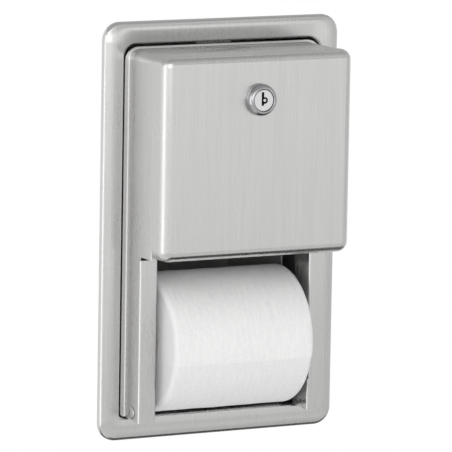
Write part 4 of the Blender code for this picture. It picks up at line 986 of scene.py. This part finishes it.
def studio_card(name, corners, level):
    """A grey card that only the object's reflections show."""
    material = bpy.data.materials.new(name)
    material.use_nodes = True
    tree = material.node_tree
    glow = tree.nodes.new("ShaderNodeEmission")
    glow.inputs["Color"].default_value = (level, level, level, 1.0)
    tree.links.new(glow.outputs["Emission"], tree.nodes["Material Output"].inputs["Surface"])
    card = stage_sheet(name, corners, [(0, 1, 2, 3)], material)
    card.visible_camera = False
    card.visible_diffuse = False
    card.visible_transmission = False
    card.visible_shadow = False


def build_cards():
    """Grey cards over, under and beside the object, and shaded strips of wall at the flange.

    Lying cards give left, right, near, far, height near, height far and level. Standing cards
    give left, right, depth, low, high and level.
    """
    lying = (("card_under", -0.05, 1.3, -0.001, -0.66, -0.89, -0.89, 0.05),
             ("card_under_front", -2.0, 3.0, -0.66, -2.4, -0.89, -0.89, 0.82),
             ("card_over", -2.0, 3.0, -0.002, -0.9, 1.8, 1.8, 0.46),
             ("card_over_middle", -2.0, 3.0, -0.9, -1.9, 1.8, 1.7, 0.62),
             ("card_over_front", -2.0, 3.0, -1.9, -3.4, 1.7, 1.5, 0.76),
             ("card_over_far", -2.0, 3.0, -3.4, -5.5, 1.5, 1.3, 0.4))
    for name, left, right, near, far, near_height, far_height, level in lying:
        studio_card(name, [(left, far, far_height), (right, far, far_height),
                           (right, near, near_height), (left, near, near_height)], level)
    standing = (("shaded_wall_below", -0.16, 0.5, -0.0004, -0.45, -0.155, 0.2),
                ("shaded_wall_above", -0.5, 0.6, -0.0004, 0.156, 0.6, 0.6),
                ("card_in_front", -0.6, 2.6, -1.75, -0.88, -0.36, 0.74))
    for name, left, right, y, low, high, level in standing:
        studio_card(name, [(left, y, low), (right, y, low), (right, y, high), (left, y, high)],
                    level)
    studio_card("card_at_right", [(1.2, -1.2, -0.8), (1.2, -0.002, -0.8), (1.2, -0.002, 0.9),
                                  (1.2, -1.2, 0.9)], 0.72)


def area_lamp(name, direction, distance, width, height, level):
    """A soft lamp that faces the object. Its level is what a white card close to it would show."""
    data = bpy.data.lights.new(name, "AREA")
    data.shape = "RECTANGLE"
    data.size, data.size_y = width, height
    data.energy = level * math.pi * width * height
    lamp = bpy.data.objects.new(name, data)
    away = Vector(direction).normalized()
    lamp.location = away * distance
    lamp.rotation_euler = away.to_track_quat("Z", "Y").to_euler()
    bpy.context.scene.collection.objects.link(lamp)
    return lamp


def build_light():
    """A white room, a soft lamp for reflections only, a key lamp, and a fill that none shows."""
    world = bpy.data.worlds.new("plain_room")
    bpy.context.scene.world = world
    world.use_nodes = True
    tree = world.node_tree
    path = tree.nodes.new("ShaderNodeLightPath")
    seen = maths(tree, "ADD", path.outputs["Is Camera Ray"], path.outputs["Is Glossy Ray"], True)
    seen = maths(tree, "ADD", seen, path.outputs["Is Transmission Ray"], True)
    colour = mix_colour(tree, seen, (ROOM_LEVEL,) * 3, (1.0, 1.0, 1.0))
    tree.links.new(colour, tree.nodes["Background"].inputs["Color"])
    softbox = area_lamp("left_softbox", (-0.97, -0.24, -0.03), distance=2.0, width=0.9,
                        height=2.0, level=1.2)
    softbox.visible_diffuse = False
    area_lamp("key_lamp", (-0.35, -0.9, 0.3), distance=2.2, width=1.4, height=1.4, level=1.55)
    fill = area_lamp("front_fill", (-0.5, -0.85, 0.15), distance=2.2, width=1.0, height=1.0,
                     level=2.9)
    fill.visible_glossy = False


def build_camera():
    """The camera as it stood for the photograph."""
    data = bpy.data.cameras.new("photograph_camera")
    data.sensor_width = SENSOR_WIDTH
    data.lens = CAMERA_LENS
    data.clip_end = CAMERA_REACH
    camera = bpy.data.objects.new("photograph_camera", data)
    columns = [CAMERA_RIGHT, CAMERA_UP, CAMERA_BACK, CAMERA_PLACE]
    rows = [[column[row] for column in columns] for row in range(3)] + [[0, 0, 0, 1]]
    camera.matrix_world = Matrix(rows)
    bpy.context.scene.collection.objects.link(camera)
    bpy.context.scene.camera = camera


build_camera()
build_stage()
build_cards()
build_light()
build_trim_flange()
build_front_pan()
build_lock_face()
build_pivot_rivets()
build_roll("lower")
build_roll("reserve")
for finish, nodes in FINISHES.items():
    for node in nodes:
        dress(node, finish)

bpy.context.scene.view_settings.view_transform = "Standard"
